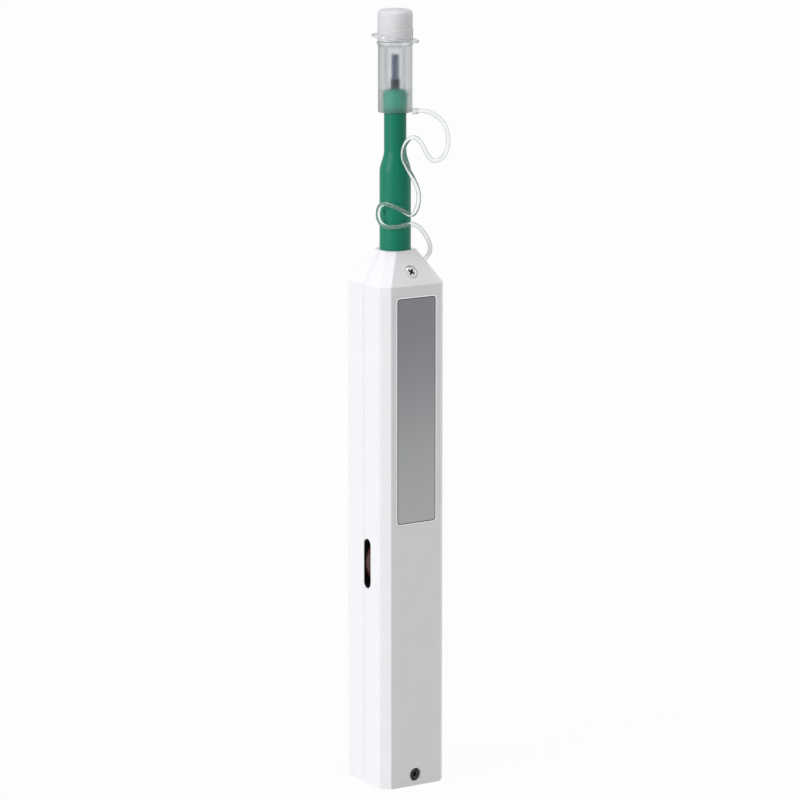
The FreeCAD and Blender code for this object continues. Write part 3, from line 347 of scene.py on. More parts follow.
def moulded_grain():
    """Group: fine spark-eroded grain with slow blotches, over a piece's own coordinates."""
    group = bpy.data.node_groups.get("Moulded Grain")
    if group:
        return group
    group, start, end = node_group("Moulded Grain", [("Grain Scale", 4000.0), ("Blotch Scale", 90.0)],
                                   ["Grain", "Blotch"])
    place = own_place(group)
    for socket, detail, output in (("Grain Scale", 2.0, "Grain"), ("Blotch Scale", 3.0, "Blotch")):
        noise = noise_over(group, place, detail)
        group.links.new(start.outputs[socket], noise.inputs["Scale"])
        group.links.new(noise.outputs["Fac"], end.inputs[output])
    return group


def settled_dust():
    """Group: mask of fine dust that gathers on faces turned upwards."""
    group = bpy.data.node_groups.get("Settled Dust")
    if group:
        return group
    group, start, end = node_group("Settled Dust", [("Amount", 0.2), ("Speck Scale", 1500.0)], ["Mask"])
    facing = group.nodes.new("ShaderNodeNewGeometry")
    upward = group.nodes.new("ShaderNodeSeparateXYZ")
    group.links.new(facing.outputs["Normal"], upward.inputs[0])
    rise = group.nodes.new("ShaderNodeMapRange")
    rise.inputs["From Min"].default_value = 0.1
    rise.inputs["From Max"].default_value = 0.9
    group.links.new(upward.outputs["Z"], rise.inputs["Value"])
    specks = noise_over(group, own_place(group), 4.0)
    group.links.new(start.outputs["Speck Scale"], specks.inputs["Scale"])
    mask = math_node(group, "MULTIPLY", rise.outputs[0], specks.outputs["Fac"])
    group.links.new(math_node(group, "MULTIPLY", mask, start.outputs["Amount"]), end.inputs["Mask"])
    return group


def brushed_lines():
    """Group: long fine scratches along Z, as on brushed or drawn metal."""
    group = bpy.data.node_groups.get("Brushed Lines")
    if group:
        return group
    group, start, end = node_group("Brushed Lines", [("Across", 9000.0), ("Along", 60.0)], ["Lines"])
    scaled = group.nodes.new("ShaderNodeMapping")
    scale = group.nodes.new("ShaderNodeCombineXYZ")
    for axis, source in (("X", "Across"), ("Y", "Across"), ("Z", "Along")):
        group.links.new(start.outputs[source], scale.inputs[axis])
    group.links.new(own_place(group), scaled.inputs["Vector"])
    group.links.new(scale.outputs[0], scaled.inputs["Scale"])
    noise = noise_over(group, scaled.outputs[0], 3.0)
    noise.inputs["Scale"].default_value = 1.0
    group.links.new(noise.outputs["Fac"], end.inputs["Lines"])
    return group


def place_group(tree, group, **values):
    """Node of a shared group, with its values given by the names of their sockets."""
    node = tree.nodes.new("ShaderNodeGroup")
    node.node_tree = group
    for label, value in values.items():
        node.inputs[label.replace("_", " ")].default_value = value
    return node


def mixed_colour(tree, factor, first, second):
    """Colour between two colours, or colour sockets, by a factor socket."""
    mix = tree.nodes.new("ShaderNodeMix")
    mix.data_type = "RGBA"
    tree.links.new(factor, mix.inputs["Factor"])
    for label, value in (("A", first), ("B", second)):
        socket = next(s for s in mix.inputs if s.name == label and s.type == "RGBA")
        if isinstance(value, bpy.types.NodeSocket):
            tree.links.new(value, socket)
        else:
            socket.default_value = (*value, 1.0)
    return next(s for s in mix.outputs if s.type == "RGBA")


def ranged(tree, value, start, end):
    """A 0 to 1 value moved to the range from start to end."""
    node = tree.nodes.new("ShaderNodeMapRange")
    node.inputs["To Min"].default_value = start
    node.inputs["To Max"].default_value = end
    tree.links.new(value, node.inputs["Value"])
    return node.outputs[0]


def bumped(tree, shader, height, distance):
    """Relief from a height socket, as deep as a distance in metres."""
    bump = tree.nodes.new("ShaderNodeBump")
    bump.inputs["Distance"].default_value = distance
    tree.links.new(height, bump.inputs["Height"])
    tree.links.new(bump.outputs[0], shader.inputs["Normal"])


def shaded(name):
    """New material: its node tree and its Principled shader."""
    material = bpy.data.materials.new(name)
    material.use_nodes = True
    tree = material.node_tree
    shader = next(n for n in tree.nodes if n.type == "BSDF_PRINCIPLED")
    return material, tree, shader


def toned(base, share):
    return [min(1.0, value * share) for value in base]


def background_rays(tree):
    """Socket that is 1 for the rays that show the white background: camera, glossy, transmission."""
    path = tree.nodes.new("ShaderNodeLightPath")
    seen = math_node(tree, "MAXIMUM", path.outputs["Is Camera Ray"], path.outputs["Is Glossy Ray"])
    return math_node(tree, "MAXIMUM", seen, path.outputs["Is Transmission Ray"])


def moulded_plastic(name, base, roughness, grain=3500.0, depth=0.000004, contrast=0.06, dust=0.0,
                    gloss=0.5):
    """Opaque moulded plastic with a fine grain and faint blotches of colour and gloss."""
    material, tree, shader = shaded(name)
    grains = place_group(tree, moulded_grain(), Grain_Scale=grain, Blotch_Scale=110.0)
    darker, lighter, dusty = toned(base, 1 - contrast), toned(base, 1 + contrast / 2), toned(base, 0.82)
    tone = mixed_colour(tree, grains.outputs["Blotch"], darker, lighter)
    if dust:
        settled = place_group(tree, settled_dust(), Amount=dust, Speck_Scale=2400.0)
        tone = mixed_colour(tree, settled.outputs["Mask"], tone, dusty)
    tree.links.new(tone, shader.inputs["Base Color"])
    swing = 0.08
    tree.links.new(ranged(tree, grains.outputs["Blotch"], roughness - swing, roughness + swing),
                   shader.inputs["Roughness"])
    bumped(tree, shader, grains.outputs["Grain"], depth)
    shader.inputs["Specular IOR Level"].default_value = gloss
    return material


def clear_plastic(name, base, rim, roughness, transmission, milk, ior=1.45, grain=2500.0, edge_shade_fall=1.3):
    """See-through plastic, clear or frosted, with faint flow marks and a painted shade that darkens it
    where it is seen edge on.
    """
    material, tree, shader = shaded(name)
    grains = place_group(tree, moulded_grain(), Grain_Scale=grain, Blotch_Scale=260.0)
    flow = place_group(tree, brushed_lines(), Across=900.0, Along=40.0)
    tone = mixed_colour(tree, flow.outputs["Lines"], toned(base, 1 - milk), toned(base, 1 + milk))
    # painted shade: the base colour darkens towards the edges that are seen edge on
    edge = tree.nodes.new("ShaderNodeLayerWeight")
    edge.inputs["Blend"].default_value = 0.5
    edge_shade_share = math_node(tree, "POWER", edge.outputs["Facing"], edge_shade_fall)
    tree.links.new(mixed_colour(tree, edge_shade_share, tone, rim), shader.inputs["Base Color"])
    swing = 0.05
    tree.links.new(ranged(tree, grains.outputs["Blotch"], max(0.0, roughness - swing), roughness + swing),
                   shader.inputs["Roughness"])
    bumped(tree, shader, grains.outputs["Grain"], SMOOTH_RELIEF)
    shader.inputs["Transmission Weight"].default_value = transmission
    shader.inputs["IOR"].default_value = ior
    return material


def worked_metal(name, base, roughness, metallic=1.0, across=9000.0):
    """Turned or drawn metal with fine lines."""
    material, tree, shader = shaded(name)
    lines = place_group(tree, brushed_lines(), Across=across, Along=400.0)
    darker, lighter = toned(base, 0.8), toned(base, 1.15)
    tree.links.new(mixed_colour(tree, lines.outputs["Lines"], darker, lighter),
                   shader.inputs["Base Color"])
    tree.links.new(ranged(tree, lines.outputs["Lines"], roughness - 0.1, roughness + 0.12),
                   shader.inputs["Roughness"])
    bumped(tree, shader, lines.outputs["Lines"], SMOOTH_RELIEF)
    shader.inputs["Metallic"].default_value = metallic
    return material


def label_foil(top, foot, low_z, high_z):
    """Brushed silver print with a painted reflection, darker towards its upper end."""
    material, tree, shader = shaded("Label Foil")
    lines = place_group(tree, brushed_lines(), Across=5200.0, Along=55.0)
    grains = place_group(tree, moulded_grain(), Grain_Scale=5200.0, Blotch_Scale=45.0)
    axes = tree.nodes.new("ShaderNodeSeparateXYZ")
    tree.links.new(own_place(tree), axes.inputs[0])
    rise = tree.nodes.new("ShaderNodeMapRange")
    rise.interpolation_type = "SMOOTHSTEP"
    rise.inputs["From Min"].default_value = low_z * MM
    rise.inputs["From Max"].default_value = high_z * MM
    tree.links.new(axes.outputs["Z"], rise.inputs["Value"])
    # painted reflection: the colour runs from the light foot to the dark top
    tone = mixed_colour(tree, rise.outputs[0], foot, top)
    darker, lighter, most_streak = toned(top, 0.85), toned(foot, 1.2), 0.35
    streak = mixed_colour(tree, lines.outputs["Lines"], darker, lighter)
    blotch = math_node(tree, "MULTIPLY", grains.outputs["Blotch"], most_streak)
    tree.links.new(mixed_colour(tree, blotch, tone, streak), shader.inputs["Base Color"])
    tree.links.new(ranged(tree, lines.outputs["Lines"], 0.34, 0.52), shader.inputs["Roughness"])
    bumped(tree, shader, lines.outputs["Lines"], FOIL_RELIEF)
    shader.inputs["Metallic"].default_value = 0.75
    return material


def wound_thread(name, base):
    """Thread laid side by side round a drum."""
    material, tree, shader = shaded(name)
    strands = tree.nodes.new("ShaderNodeTexWave")
    strands.bands_direction = "Y"
    strands.inputs["Scale"].default_value = 700.0
    strands.inputs["Distortion"].default_value = 1.2
    strands.inputs["Detail"].default_value = 2.0
    tree.links.new(own_place(tree), strands.inputs["Vector"])
    gap = toned(base, 0.7)
    tree.links.new(mixed_colour(tree, strands.outputs["Fac"], gap, base), shader.inputs["Base Color"])
    tree.links.new(ranged(tree, strands.outputs["Fac"], 0.75, 0.95), shader.inputs["Roughness"])
    bumped(tree, shader, strands.outputs["Fac"], THREAD_RELIEF)
    shader.inputs["Sheen Weight"].default_value = 0.3
    return material


# ---------------------------------------------------------------- cord

# control points of the cord's two runs, in metres: out of the shoulder and round the
# barrel to a point in front of it, then on to the lug of the guide cap
LOWER_RUN = [
    (0.005566, 0.0, 0.125254), (0.008383, 0.0, 0.126974), (0.008235, -0.002836, 0.1294),
    (0.006758, -0.004732, 0.1318), (0.004258, -0.005818, 0.1350), (0.001433, -0.006063, 0.1372),
    (-0.001223, -0.005342, 0.1366), (-0.003373, -0.004049, 0.1363), (-0.004927, -0.002329, 0.1364),
    (-0.005493, -0.001038, 0.1380), (-0.005541, -0.000937, 0.1403), (-0.00513, -0.00201, 0.1420),
    (-0.003646, -0.003749, 0.1416), (-0.001503, -0.005207, 0.1404), (0.000878, -0.006168, 0.1388),
    (0.002605, -0.00602, 0.1411), (0.003057, -0.005725, 0.1443), (0.001881, -0.005402, 0.1474),
    (0.000138, -0.004938, 0.1505), (-0.000502, -0.0045, 0.1522),
]
UPPER_RUN = [
    (-0.000502, -0.0045, 0.1522), (-0.0008, -0.0043, 0.1538), (-0.0001, -0.0045, 0.1562),
    (0.0012, -0.0050, 0.1577), (0.0028, -0.0056, 0.1573), (0.0041, -0.0060, 0.1552),
    (0.0051, -0.0063, 0.1529), (0.0065, -0.0069, 0.1516), (0.0084, -0.0078, 0.1524),
    (0.0097, -0.0081, 0.1546), (0.0098, -0.0080, 0.1578), (0.0094, -0.0072, 0.1606),
    (0.0079, -0.0056, 0.1625), (0.0057, -0.0039, 0.1637), (0.004087, -0.002757, 0.1634),
]


def run_mesh(name, run, radius):
    """Mesh of one smooth run of cord, or its bare line where the radius is 0."""
    curve = bpy.data.curves.new(name, "CURVE")
    curve.dimensions = "3D"
    curve.resolution_u = 8
    curve.bevel_depth = radius
    curve.bevel_resolution = 3
    curve.use_fill_caps = radius > 0
    spline = curve.splines.new("NURBS")
    spline.points.add(len(run) - 1)
    for point, place in zip(spline.points, run):
        point.co = (*place, 1.0)
    spline.order_u = 3
    spline.use_endpoint_u = True
    guide = placed(name, curve)
    bpy.context.view_layer.update()
    mesh = bpy.data.meshes.new_from_object(guide.evaluated_get(bpy.context.evaluated_depsgraph_get()))
    bpy.data.objects.remove(guide)
    bpy.data.curves.remove(curve)
    return mesh


def cord_piece(name, run, material, node):
    mesh = run_mesh(name, run, sizes().cord_radius)
    tube = bmesh.new()
    tube.from_mesh(mesh)
    weld(tube)
    tube.to_mesh(mesh)
    tube.free()
    mesh.name = name
    mesh.materials.clear()
    mesh.materials.append(material)
    smooth_shade(mesh, 60)
    piece = placed(name, mesh)
    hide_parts(node)
    return piece


def cord_line(run):
    """Points along one run of cord."""
    return [tuple(v.co) for v in run_mesh("line", run, 0.0).vertices]


class PEN_OT_tether(bpy.types.Operator):
    """Makes the tether cord in its two runs"""

    bl_idname = "pen.tether"
    bl_label = "Tether cord"

    def execute(self, context):
        clear = clear_plastic("Clear Cord", colours().cord, colours().cord_edge_shade, 0.05, 0.94, 0.03,
                              edge_shade_fall=1.2)
        lower = cord_piece("cord_lower", LOWER_RUN, clear, "tether_lower")
        upper = cord_piece("cord_upper", UPPER_RUN, clear, "tether_upper")
        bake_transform(lower)
        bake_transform(upper)
        cord_line(LOWER_RUN)
        cord_line(UPPER_RUN)
        coat_node("tether_knot", clear)
        return {"FINISHED"}


# ---------------------------------------------------------------- casing, label, screws

class PEN_OT_casing(bpy.types.Operator):
    """Gives the two casing shells their white moulded finish"""

    bl_idname = "pen.casing"
    bl_label = "Casing finish"

    def execute(self, context):
        white = moulded_plastic("Casing White", colours().casing, 0.42, grain=2600.0, depth=0.000009,
                                contrast=0.03, dust=0.25)
        for node in ("rear_shell", "front_shell"):
            coat_node(node, white)
        return {"FINISHED"}


def rounded_sheet(x0, x1, z0, z1, front_y, back_y, corner, edge):
    """Thin upright sheet with rounded corners and a softened front edge, in millimetres."""
    bm = cuboid(((x1 - x0) * MM, (back_y - front_y) * MM, (z1 - z0) * MM))
    shift(bm, Vector(((x0 + x1) / 2, (front_y + back_y) / 2, (z0 + z1) / 2)) * MM)
    uprights = [e for e in bm.edges if abs(e.verts[0].co.y - e.verts[1].co.y) > NEAR]
    round_edges(bm, uprights, corner * MM, segments=8)
    rim = [e for e in bm.edges if all(abs(v.co.y - front_y * MM) < NEAR for v in e.verts)]
    round_edges(bm, rim, edge * MM, segments=2)
    return bm


class PEN_OT_label(bpy.types.Operator):
    """Makes the label: a white film with a bare silver field"""

    bl_idname = "pen.label"
    bl_label = "Label"

    def execute(self, context):
        x0, face_y, z0 = low("label_plate")
        x1, back_y, z1 = high("label_plate")
        corner = sizes().label_corner / MM
        # fronts of the three layers, and the back of the two printed ones inside the film
        film_y, line_y, field_y, print_back = face_y - 0.05, face_y - 0.06, face_y - 0.07, face_y - 0.03
        film_edge, print_edge, corner_share = 0.02, 0.005, 0.6
        film = rounded_sheet(x0, x1, z0, z1, film_y, back_y, corner, film_edge)
        paper = worked_metal("Label Film", colours().label_edge, 0.3, metallic=0.75)
        finish_piece(film, "label_film", paper, "casing", ["label_plate"])

        def printed(inset, front_y):
            """Layer set in from the film's edge, with smaller corners."""
            return rounded_sheet(x0 + inset, x1 - inset, z0 + inset, z1 - inset, front_y, print_back,
                                 corner - inset * corner_share, print_edge)

        margin = sizes().label_margin / MM
        line = printed(margin, line_y)
        ink = moulded_plastic("Label Ink", colours().label_line, 0.45, grain=9000.0, contrast=0.15)
        finish_piece(line, "label_line", ink, "casing")
        field = printed(margin + sizes().label_line / MM, field_y)
        foil = label_foil(colours().label_top_painted_reflection, colours().label_foot_painted_reflection, z0, z1)
        finish_piece(field, "label_field", foil, "casing")
        return {"FINISHED"}


def screw_head(radius, height, slot):
    """Pan head that stands on Z = 0, and the cutter of its cross recess, in metres."""
    head = cone_at((0, 0, height / 2), radius, radius, height, segments=48)
    rim = [e for e in head.edges if all(v.co.z > height * 0.9 for v in e.verts)]
    round_edges(head, rim, height * 0.42, segments=4)
    cutter = bmesh.new()
    arm_length, arm_depth, taper = radius * 1.56, height * 1.6, (0.4, 0.7, 1.0)
    for angle in (0.0, math.pi / 2):
        arm = cuboid((arm_length, slot, arm_depth))
        foot = [v for v in arm.verts if v.co.z < 0]
        bmesh.ops.scale(arm, verts=foot, vec=taper)
        turn(arm, Matrix.Rotation(angle, 3, "Z"))
        shift(arm, (0, 0, height))
        merge_in(cutter, arm)
    return head, cutter


def cut_away(head, cutter):
    """The head with the cutter's shape taken out, as a new bmesh."""
    objects = [placed(name, mesh_of(bm, name)) for name, bm in (("head", head), ("cutter", cutter))]
    cut = objects[0].modifiers.new("cross", "BOOLEAN")
    cut.operation = "DIFFERENCE"
    cut.solver = "EXACT"
    cut.use_self = True
    cut.object = objects[1]
    bpy.context.view_layer.update()
    result = bmesh.new()
    done = objects[0].evaluated_get(bpy.context.evaluated_depsgraph_get())
    result.from_mesh(done.to_mesh())
    done.to_mesh_clear()
    for thing in objects:
        mesh = thing.data
        bpy.data.objects.remove(thing)
        bpy.data.meshes.remove(mesh)
    return result


def screw_places():
    """Seat and outward direction of the shoulder screw and of the base screw, in metres."""
    # the sloping shoulder's depth and height, how far up it the screw sits, and how far in
    run, rise, share_up, sunk = 4.7, 7.7, 0.4, 0.95
    base_sunk, base_up = 0.9, 1.6
    outward = Vector((0, -rise, run)).normalized()
    shoulder_foot = high("rear_shell").z - rise
    slope_point = Vector((0, low("front_shell").y + run * share_up, shoulder_foot + rise * share_up))
    heads = low("cover_screws")
    return [("shoulder_screw", (slope_point - outward * sunk) * MM, outward),
            ("base_screw", Vector((0, heads.y + base_sunk, heads.z + base_up)) * MM, Vector((0, -1, 0)))]


class PEN_OT_screws(bpy.types.Operator):
    """Makes the two cover screws with their cross recesses"""

    bl_idname = "pen.screws"
    bl_label = "Cover screws"

    def execute(self, context):
        # the base screw gets darkened steel, painted shade for its well
        steels = {"shoulder_screw": worked_metal("Screw Steel", colours().steel, 0.3),
                  "base_screw": worked_metal("Steel In Painted Shade", colours().well_shade_steel, 0.4)}
        # near-black colour for the cross recess, painted shade
        black = moulded_plastic("Shade-painted Recess", colours().recess, 0.5, contrast=0.3)
        head_radius, head_height = 0.00158, 0.0009
        shank_depth, shank_foot, shank_top = 0.0016, 0.0004, 0.00075
        recess_low, recess_high, recess_reach = 0.0001, 0.00085, 0.0012
        cross_turn = Matrix.Rotation(math.radians(52), 3, "Z")
        for name, seat, outward in screw_places():
            screw = cut_away(*screw_head(head_radius, head_height, sizes().screw_slot))
            merge_in(screw, cone_at((0, 0, -shank_depth / 2), shank_foot, shank_top, shank_depth,
                                    segments=24))
            # faces inside the cross recess get the painted-shade colour
            for face in screw.faces:
                if (recess_low < face.calc_center_median().z < recess_high
                        and all(math.hypot(v.co.x, v.co.y) < recess_reach for v in face.verts)):
                    face.material_index = 1
            turn(screw, Vector((0, 0, 1)).rotation_difference(outward).to_matrix() @ cross_turn)
            shift(screw, seat)
            piece = finish_piece(screw, name, steels[name], "casing", ["cover_screws"])
            piece.data.materials.append(black)
        return {"FINISHED"}


class PEN_OT_window(bpy.types.Operator):
    """Makes a dark lining round the window over the thumb wheel, painted shade that darkens the opening
    """

    bl_idname = "pen.window"
    bl_label = "Window edging"

    def execute(self, context):
        opening, corner = Vector((1.75, 2.96, 12.16)), 1.42
        place = Vector((low("rear_shell").x + 0.93, -1.5, middle("take_up_axle").z))
        shade_lining = cuboid(opening * MM)
        ends = [e for e in shade_lining.edges if abs(e.verts[0].co.x - e.verts[1].co.x) > NEAR]
        round_edges(shade_lining, ends, corner * MM, segments=8)
        caps = [f for f in shade_lining.faces if abs(f.normal.x) > FACING]
        bmesh.ops.delete(shade_lining, geom=caps, context="FACES_ONLY")
        bmesh.ops.recalc_face_normals(shade_lining, faces=shade_lining.faces)
        bmesh.ops.solidify(shade_lining, geom=shade_lining.faces[:], thickness=sizes().shade_lining)
        shift(shade_lining, place * MM)
        bmesh.ops.recalc_face_normals(shade_lining, faces=shade_lining.faces)
        # painted shade: the lining is coloured near black so the opening looks dark
        black = moulded_plastic("Window Shade Lining", colours().shade_lining, 0.3, contrast=0.3)
        finish_piece(shade_lining, "window_shade_lining", black, "casing")
        return {"FINISHED"}


class PEN_OT_thumb_wheel(bpy.types.Operator):
    """Makes the ridged grip on the rim of the take-up reel"""

    bl_idname = "pen.thumb_wheel"
    bl_label = "Thumb wheel"

    def execute(self, context):
        brown = moulded_plastic("Reel Brown", colours().reel, 0.38, contrast=0.2)
        centre = middle("take_up_axle")
        front, back, depth, proud = -2.55, -0.45, 0.9, 0.02
        radius = high("take_up_reel").z - centre.z + proud
        inner = radius - depth
        grip = spun([(inner, front), (radius, front), (radius, back), (inner, back)],
                    steps=2 * sizes().knurl_count)
        outer = [f for f in grip.faces if f.normal.to_2d().length > FACING
                 and math.hypot(*f.calc_center_median().to_2d()) > (radius - depth / 2) * MM]
        outer.sort(key=lambda f: math.atan2(f.calc_center_median().y, f.calc_center_median().x))
        ridges = bmesh.ops.extrude_discrete_faces(grip, faces=outer[::2])["faces"]
        narrower = (1.0, 1.0, 0.94)
        for ridge in ridges:
            bmesh.ops.translate(grip, verts=ridge.verts, vec=ridge.normal * sizes().knurl_depth)
            bmesh.ops.scale(grip, verts=ridge.verts, vec=narrower)
        turn(grip, UPRIGHT)
        stretch(grip, (1, -1, 1))
        shift(grip, Vector((centre.x, 0, centre.z)) * MM)
        bmesh.ops.recalc_face_normals(grip, faces=grip.faces)
        finish_piece(grip, "thumb_grip", brown, "take_up", sharp=20)
        coat_node("take_up_reel", brown)
        return {"FINISHED"}


# ---------------------------------------------------------------- nozzle and tip

class PEN_OT_nozzle(bpy.types.Operator):
    """Makes the green stepped nozzle with its domed head"""

    bl_idname = "pen.nozzle"
    bl_label = "Nozzle"

    def execute(self, context):
        # heights, then radii outside and inside, in millimetres
        foot, top = low("nozzle_barrel").z, high("nozzle_barrel").z
        cone_z, neck_z, head_z = top - 19.15, top - 15.75, top - 4.75
        step_z, lip_z = cone_z - 1.7, top - 0.8
        barrel, neck, head = 3.75, 2.68, 3.0
        wide_bore, bore, hole = 2.5, 1.5, 1.0
        nozzle = spun([(wide_bore, foot), (barrel, foot), (barrel, cone_z), (neck, neck_z),
                       (neck, head_z), (head, head_z), (head, top), (hole, top), (hole, lip_z),
                       (bore, lip_z), (bore, step_z), (wide_bore, step_z)], steps=112)
        round_ring(nozzle, head, top, sizes().dome_round, segments=9)
        round_ring(nozzle, barrel, cone_z, sizes().cone_blend, segments=6)
        round_ring(nozzle, neck, neck_z, sizes().cone_blend, segments=6)
        head_edge = 0.1 * MM
        round_ring(nozzle, head, head_z, head_edge, segments=2)
        # the head's lighter green, partly a separate moulded colour and partly painted light for the glow
        # and highlight seen through the frosted cap, is on its outside, away from the bore
        skin, slack = 1.6, 0.01
        for face in nozzle.faces:
            centre = face.calc_center_median()
            outside = math.hypot(centre.x, centre.y) > skin * MM or centre.z > (top - slack) * MM
            if outside and centre.z > (head_z - slack) * MM:
                face.material_index = 1
        green = self.moulded("Nozzle Green", colours().nozzle)
        piece = finish_piece(nozzle, "nozzle_body", green, "nozzle", ["nozzle_barrel"])
        piece.data.materials.append(self.moulded("Head Green Partly Painted Light", colours().head))
        return {"FINISHED"}

    def moulded(self, name, base):
        return moulded_plastic(name, base, 0.38, grain=1800.0, contrast=0.1, gloss=0.2)


class PEN_OT_tip(bpy.types.Operator):
    """Gives the cleaning tip, its collar, thread and spindle their finishes"""

    bl_idname = "pen.tip"
    bl_label = "Cleaning tip"

    def execute(self, context):
        coat_node("cleaning_tip", moulded_plastic("Tip Grey", colours().tip, 0.4, contrast=0.12))
        coat_node("tip_collar", moulded_plastic("Collar Dark", colours().collar, 0.5, contrast=0.2,
                                                gloss=0.1))
        coat_node("tip_spindle", moulded_plastic("Spindle Grey", colours().tip, 0.35, contrast=0.1))
        coat_node("tip_thread", wound_thread("Tip Thread", colours().worn_thread))
        return {"FINISHED"}


# ---------------------------------------------------------------- cap, lid, ring

def cord_flare(end, back, reach, thin, thick):
    """Cone that the cord grows out of, from thick at `end` to thin, in metres."""
    flare = cone_at((0, 0, reach / 2), thick, thin, reach, segments=32)
    turn(flare, Vector((0, 0, 1)).rotation_difference(back).to_matrix())
    shift(flare, end)
    return flare


class PEN_OT_guide_cap(bpy.types.Operator):
    """Makes the frosted guide cap with the cord's root"""

    bl_idname = "pen.guide_cap"
    bl_label = "Guide cap"

    def execute(self, context):
        # heights, then radii outside and inside, in millimetres
        seam = low("cap_lid").z
        foot, flange, top = seam - 16.9, seam - 0.05, seam + 5.85
        slope_z, rim_z = flange - 1.0, flange - 0.7
        shelf, roof = foot + 5.45, flange - 1.5
        outer, rim, neck = 4.08, 4.3, 3.4
        mouth, bore, hole = 3.06, 2.5, 1.3
        sleeve = spun([(mouth, foot), (outer, foot), (outer, slope_z), (rim, rim_z), (rim, flange),
                       (neck, flange), (neck, top), (hole, top), (hole, roof), (bore, roof),
                       (bore, shelf), (mouth, shelf)])
        edge = sizes().sleeve_edge
        for radius, height in ((outer, foot), (rim, flange), (neck, top)):
            round_ring(sleeve, radius, height, edge, segments=4)
        round_ring(sleeve, mouth, foot, edge * 0.7, segments=3)
        lug = Vector(UPPER_RUN[-1])
        outward = Vector((lug.x, lug.y, 0)).normalized()
        inside, thick, thin = 0.0009, 0.0008, sizes().cord_radius * 1.06
        root = cord_flare(lug - outward * inside, outward, sizes().cord_root, thin, thick)
        merge_in(sleeve, root)
        frosted = clear_plastic("Cap Frosted", colours().frosted, colours().frosted_edge_shade, 0.34, 0.96,
                                0.05, ior=1.3, grain=1500.0, edge_shade_fall=1.15)
        finish_piece(sleeve, "cap_sleeve", frosted, "guide_cap", ["guide_cap"])
        return {"FINISHED"}


class PEN_OT_lid(bpy.types.Operator):
    """Makes the frosted lid and the clear ring round it"""

    bl_idname = "pen.lid"
    bl_label = "Lid and ring"

    def execute(self, context):
        # heights, then radii inside and outside, in millimetres
        foot, top = low("cap_lid").z, high("cap_lid").z - 0.25
        skirt, ceiling = foot + 2.45, top - 1.1
        bead_foot, bead_top, step_z = skirt + 0.12, skirt + 0.32, skirt + 0.45
        bore, lower, bead, upper = 3.46, 4.25, 4.34, 4.15
        lid = spun([(bore, foot), (lower, foot), (lower, skirt), (bead, bead_foot), (bead, bead_top),
                    (upper, step_z), (upper, top), (0, top), (0, ceiling), (bore, ceiling)])
        round_ring(lid, upper, top, sizes().lid_round, segments=8)
        foot_edge = 0.12 * MM
        round_ring(lid, lower, foot, foot_edge, segments=3)
        # low stub off the middle, where the mould was filled
        gate, foot_radius, top_radius, depth = (0.0009, 0, (top + 0.02) * MM), 0.0006, 0.0005, 0.0005
        merge_in(lid, cone_at(gate, foot_radius, top_radius, depth, segments=24))
        milky = clear_plastic("Lid Frosted", colours().lid, colours().lid_edge_shade, 0.38, 0.42, 0.02,
                              ior=1.3, grain=1500.0)
        finish_piece(lid, "lid_cup", milky, "lid", ["cap_lid"])
        self.make_ring()
        return {"FINISHED"}

    def make_ring(self):
        """Clear ring of one round strand, longer than wide and higher at its left end."""
        radius, longer, heading, lean = 4.75, 1.12, -34, 8
        band = bmesh.new()
        bmesh.ops.create_circle(band, cap_ends=False, segments=20, radius=sizes().ring_wire)
        turn(band, UPRIGHT)
        shift(band, (radius * MM, 0, 0))
        full_spin(band, 96)
        stretch(band, (longer, 1, 1))
        turn(band, Matrix.Rotation(math.radians(heading), 3, "Z")
             @ Matrix.Rotation(math.radians(lean), 3, "Y"))
        shift(band, (0, 0, middle("lid_ring").z * MM))
        clear = clear_plastic("Ring Clear", colours().cord, colours().cord_edge_shade, 0.05, 0.86, 0.02,
                              edge_shade_fall=1.7)
        finish_piece(band, "ring_band", clear, "lid", ["lid_ring"])


# ---------------------------------------------------------------- working parts

class PEN_OT_working_parts(bpy.types.Operator):
    """Makes the return spring and gives the parts inside the casing their finishes"""

    bl_idname = "pen.working_parts"
    bl_label = "Working parts"

    def execute(self, context):
        steel = worked_metal("Spring Steel", colours().steel, 0.28, across=5000.0)
        natural = moulded_plastic("Natural Plastic", colours().inner, 0.4, contrast=0.08)
        thread = wound_thread("Wound Thread", colours().thread)
        self.make_coil(steel)
        for node in ("take_up_axle", "supply_axle", "pinion_axle", "cam_pin"):
            coat_node(node, steel)
        for node in ("nozzle_guide", "slider_carriage", "ratchet_pawl", "brake_washer",
                     "drive_pinion", "supply_reel"):
            coat_node(node, natural)
        for node in ("used_thread_pack", "clean_thread_pack"):
            coat_node(node, thread)
        return {"FINISHED"}

    def make_coil(self, steel):
        wire, turns = sizes().coil_wire, sizes().coil_turns
        bottom, top = [corner.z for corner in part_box("return_spring")]
        radius, steps = 0.0033, 32 * turns
        coil = bmesh.new()
        bmesh.ops.create_circle(coil, cap_ends=True, segments=12, radius=wire)
        turn(coil, UPRIGHT)
        shift(coil, (radius, 0, bottom + wire))
        bmesh.ops.spin(coil, geom=coil.faces[:], cent=(0, 0, 0), axis=(0, 0, 1),
                       dvec=(0, 0, (top - bottom - 2 * wire) / steps), angle=math.tau * turns,
                       steps=steps, use_merge=False, use_duplicate=False)
        weld(coil)
        piece = finish_piece(coil, "return_coil", steel, None, ["return_spring"], sharp=50)
        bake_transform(piece)


# ---------------------------------------------------------------- studio

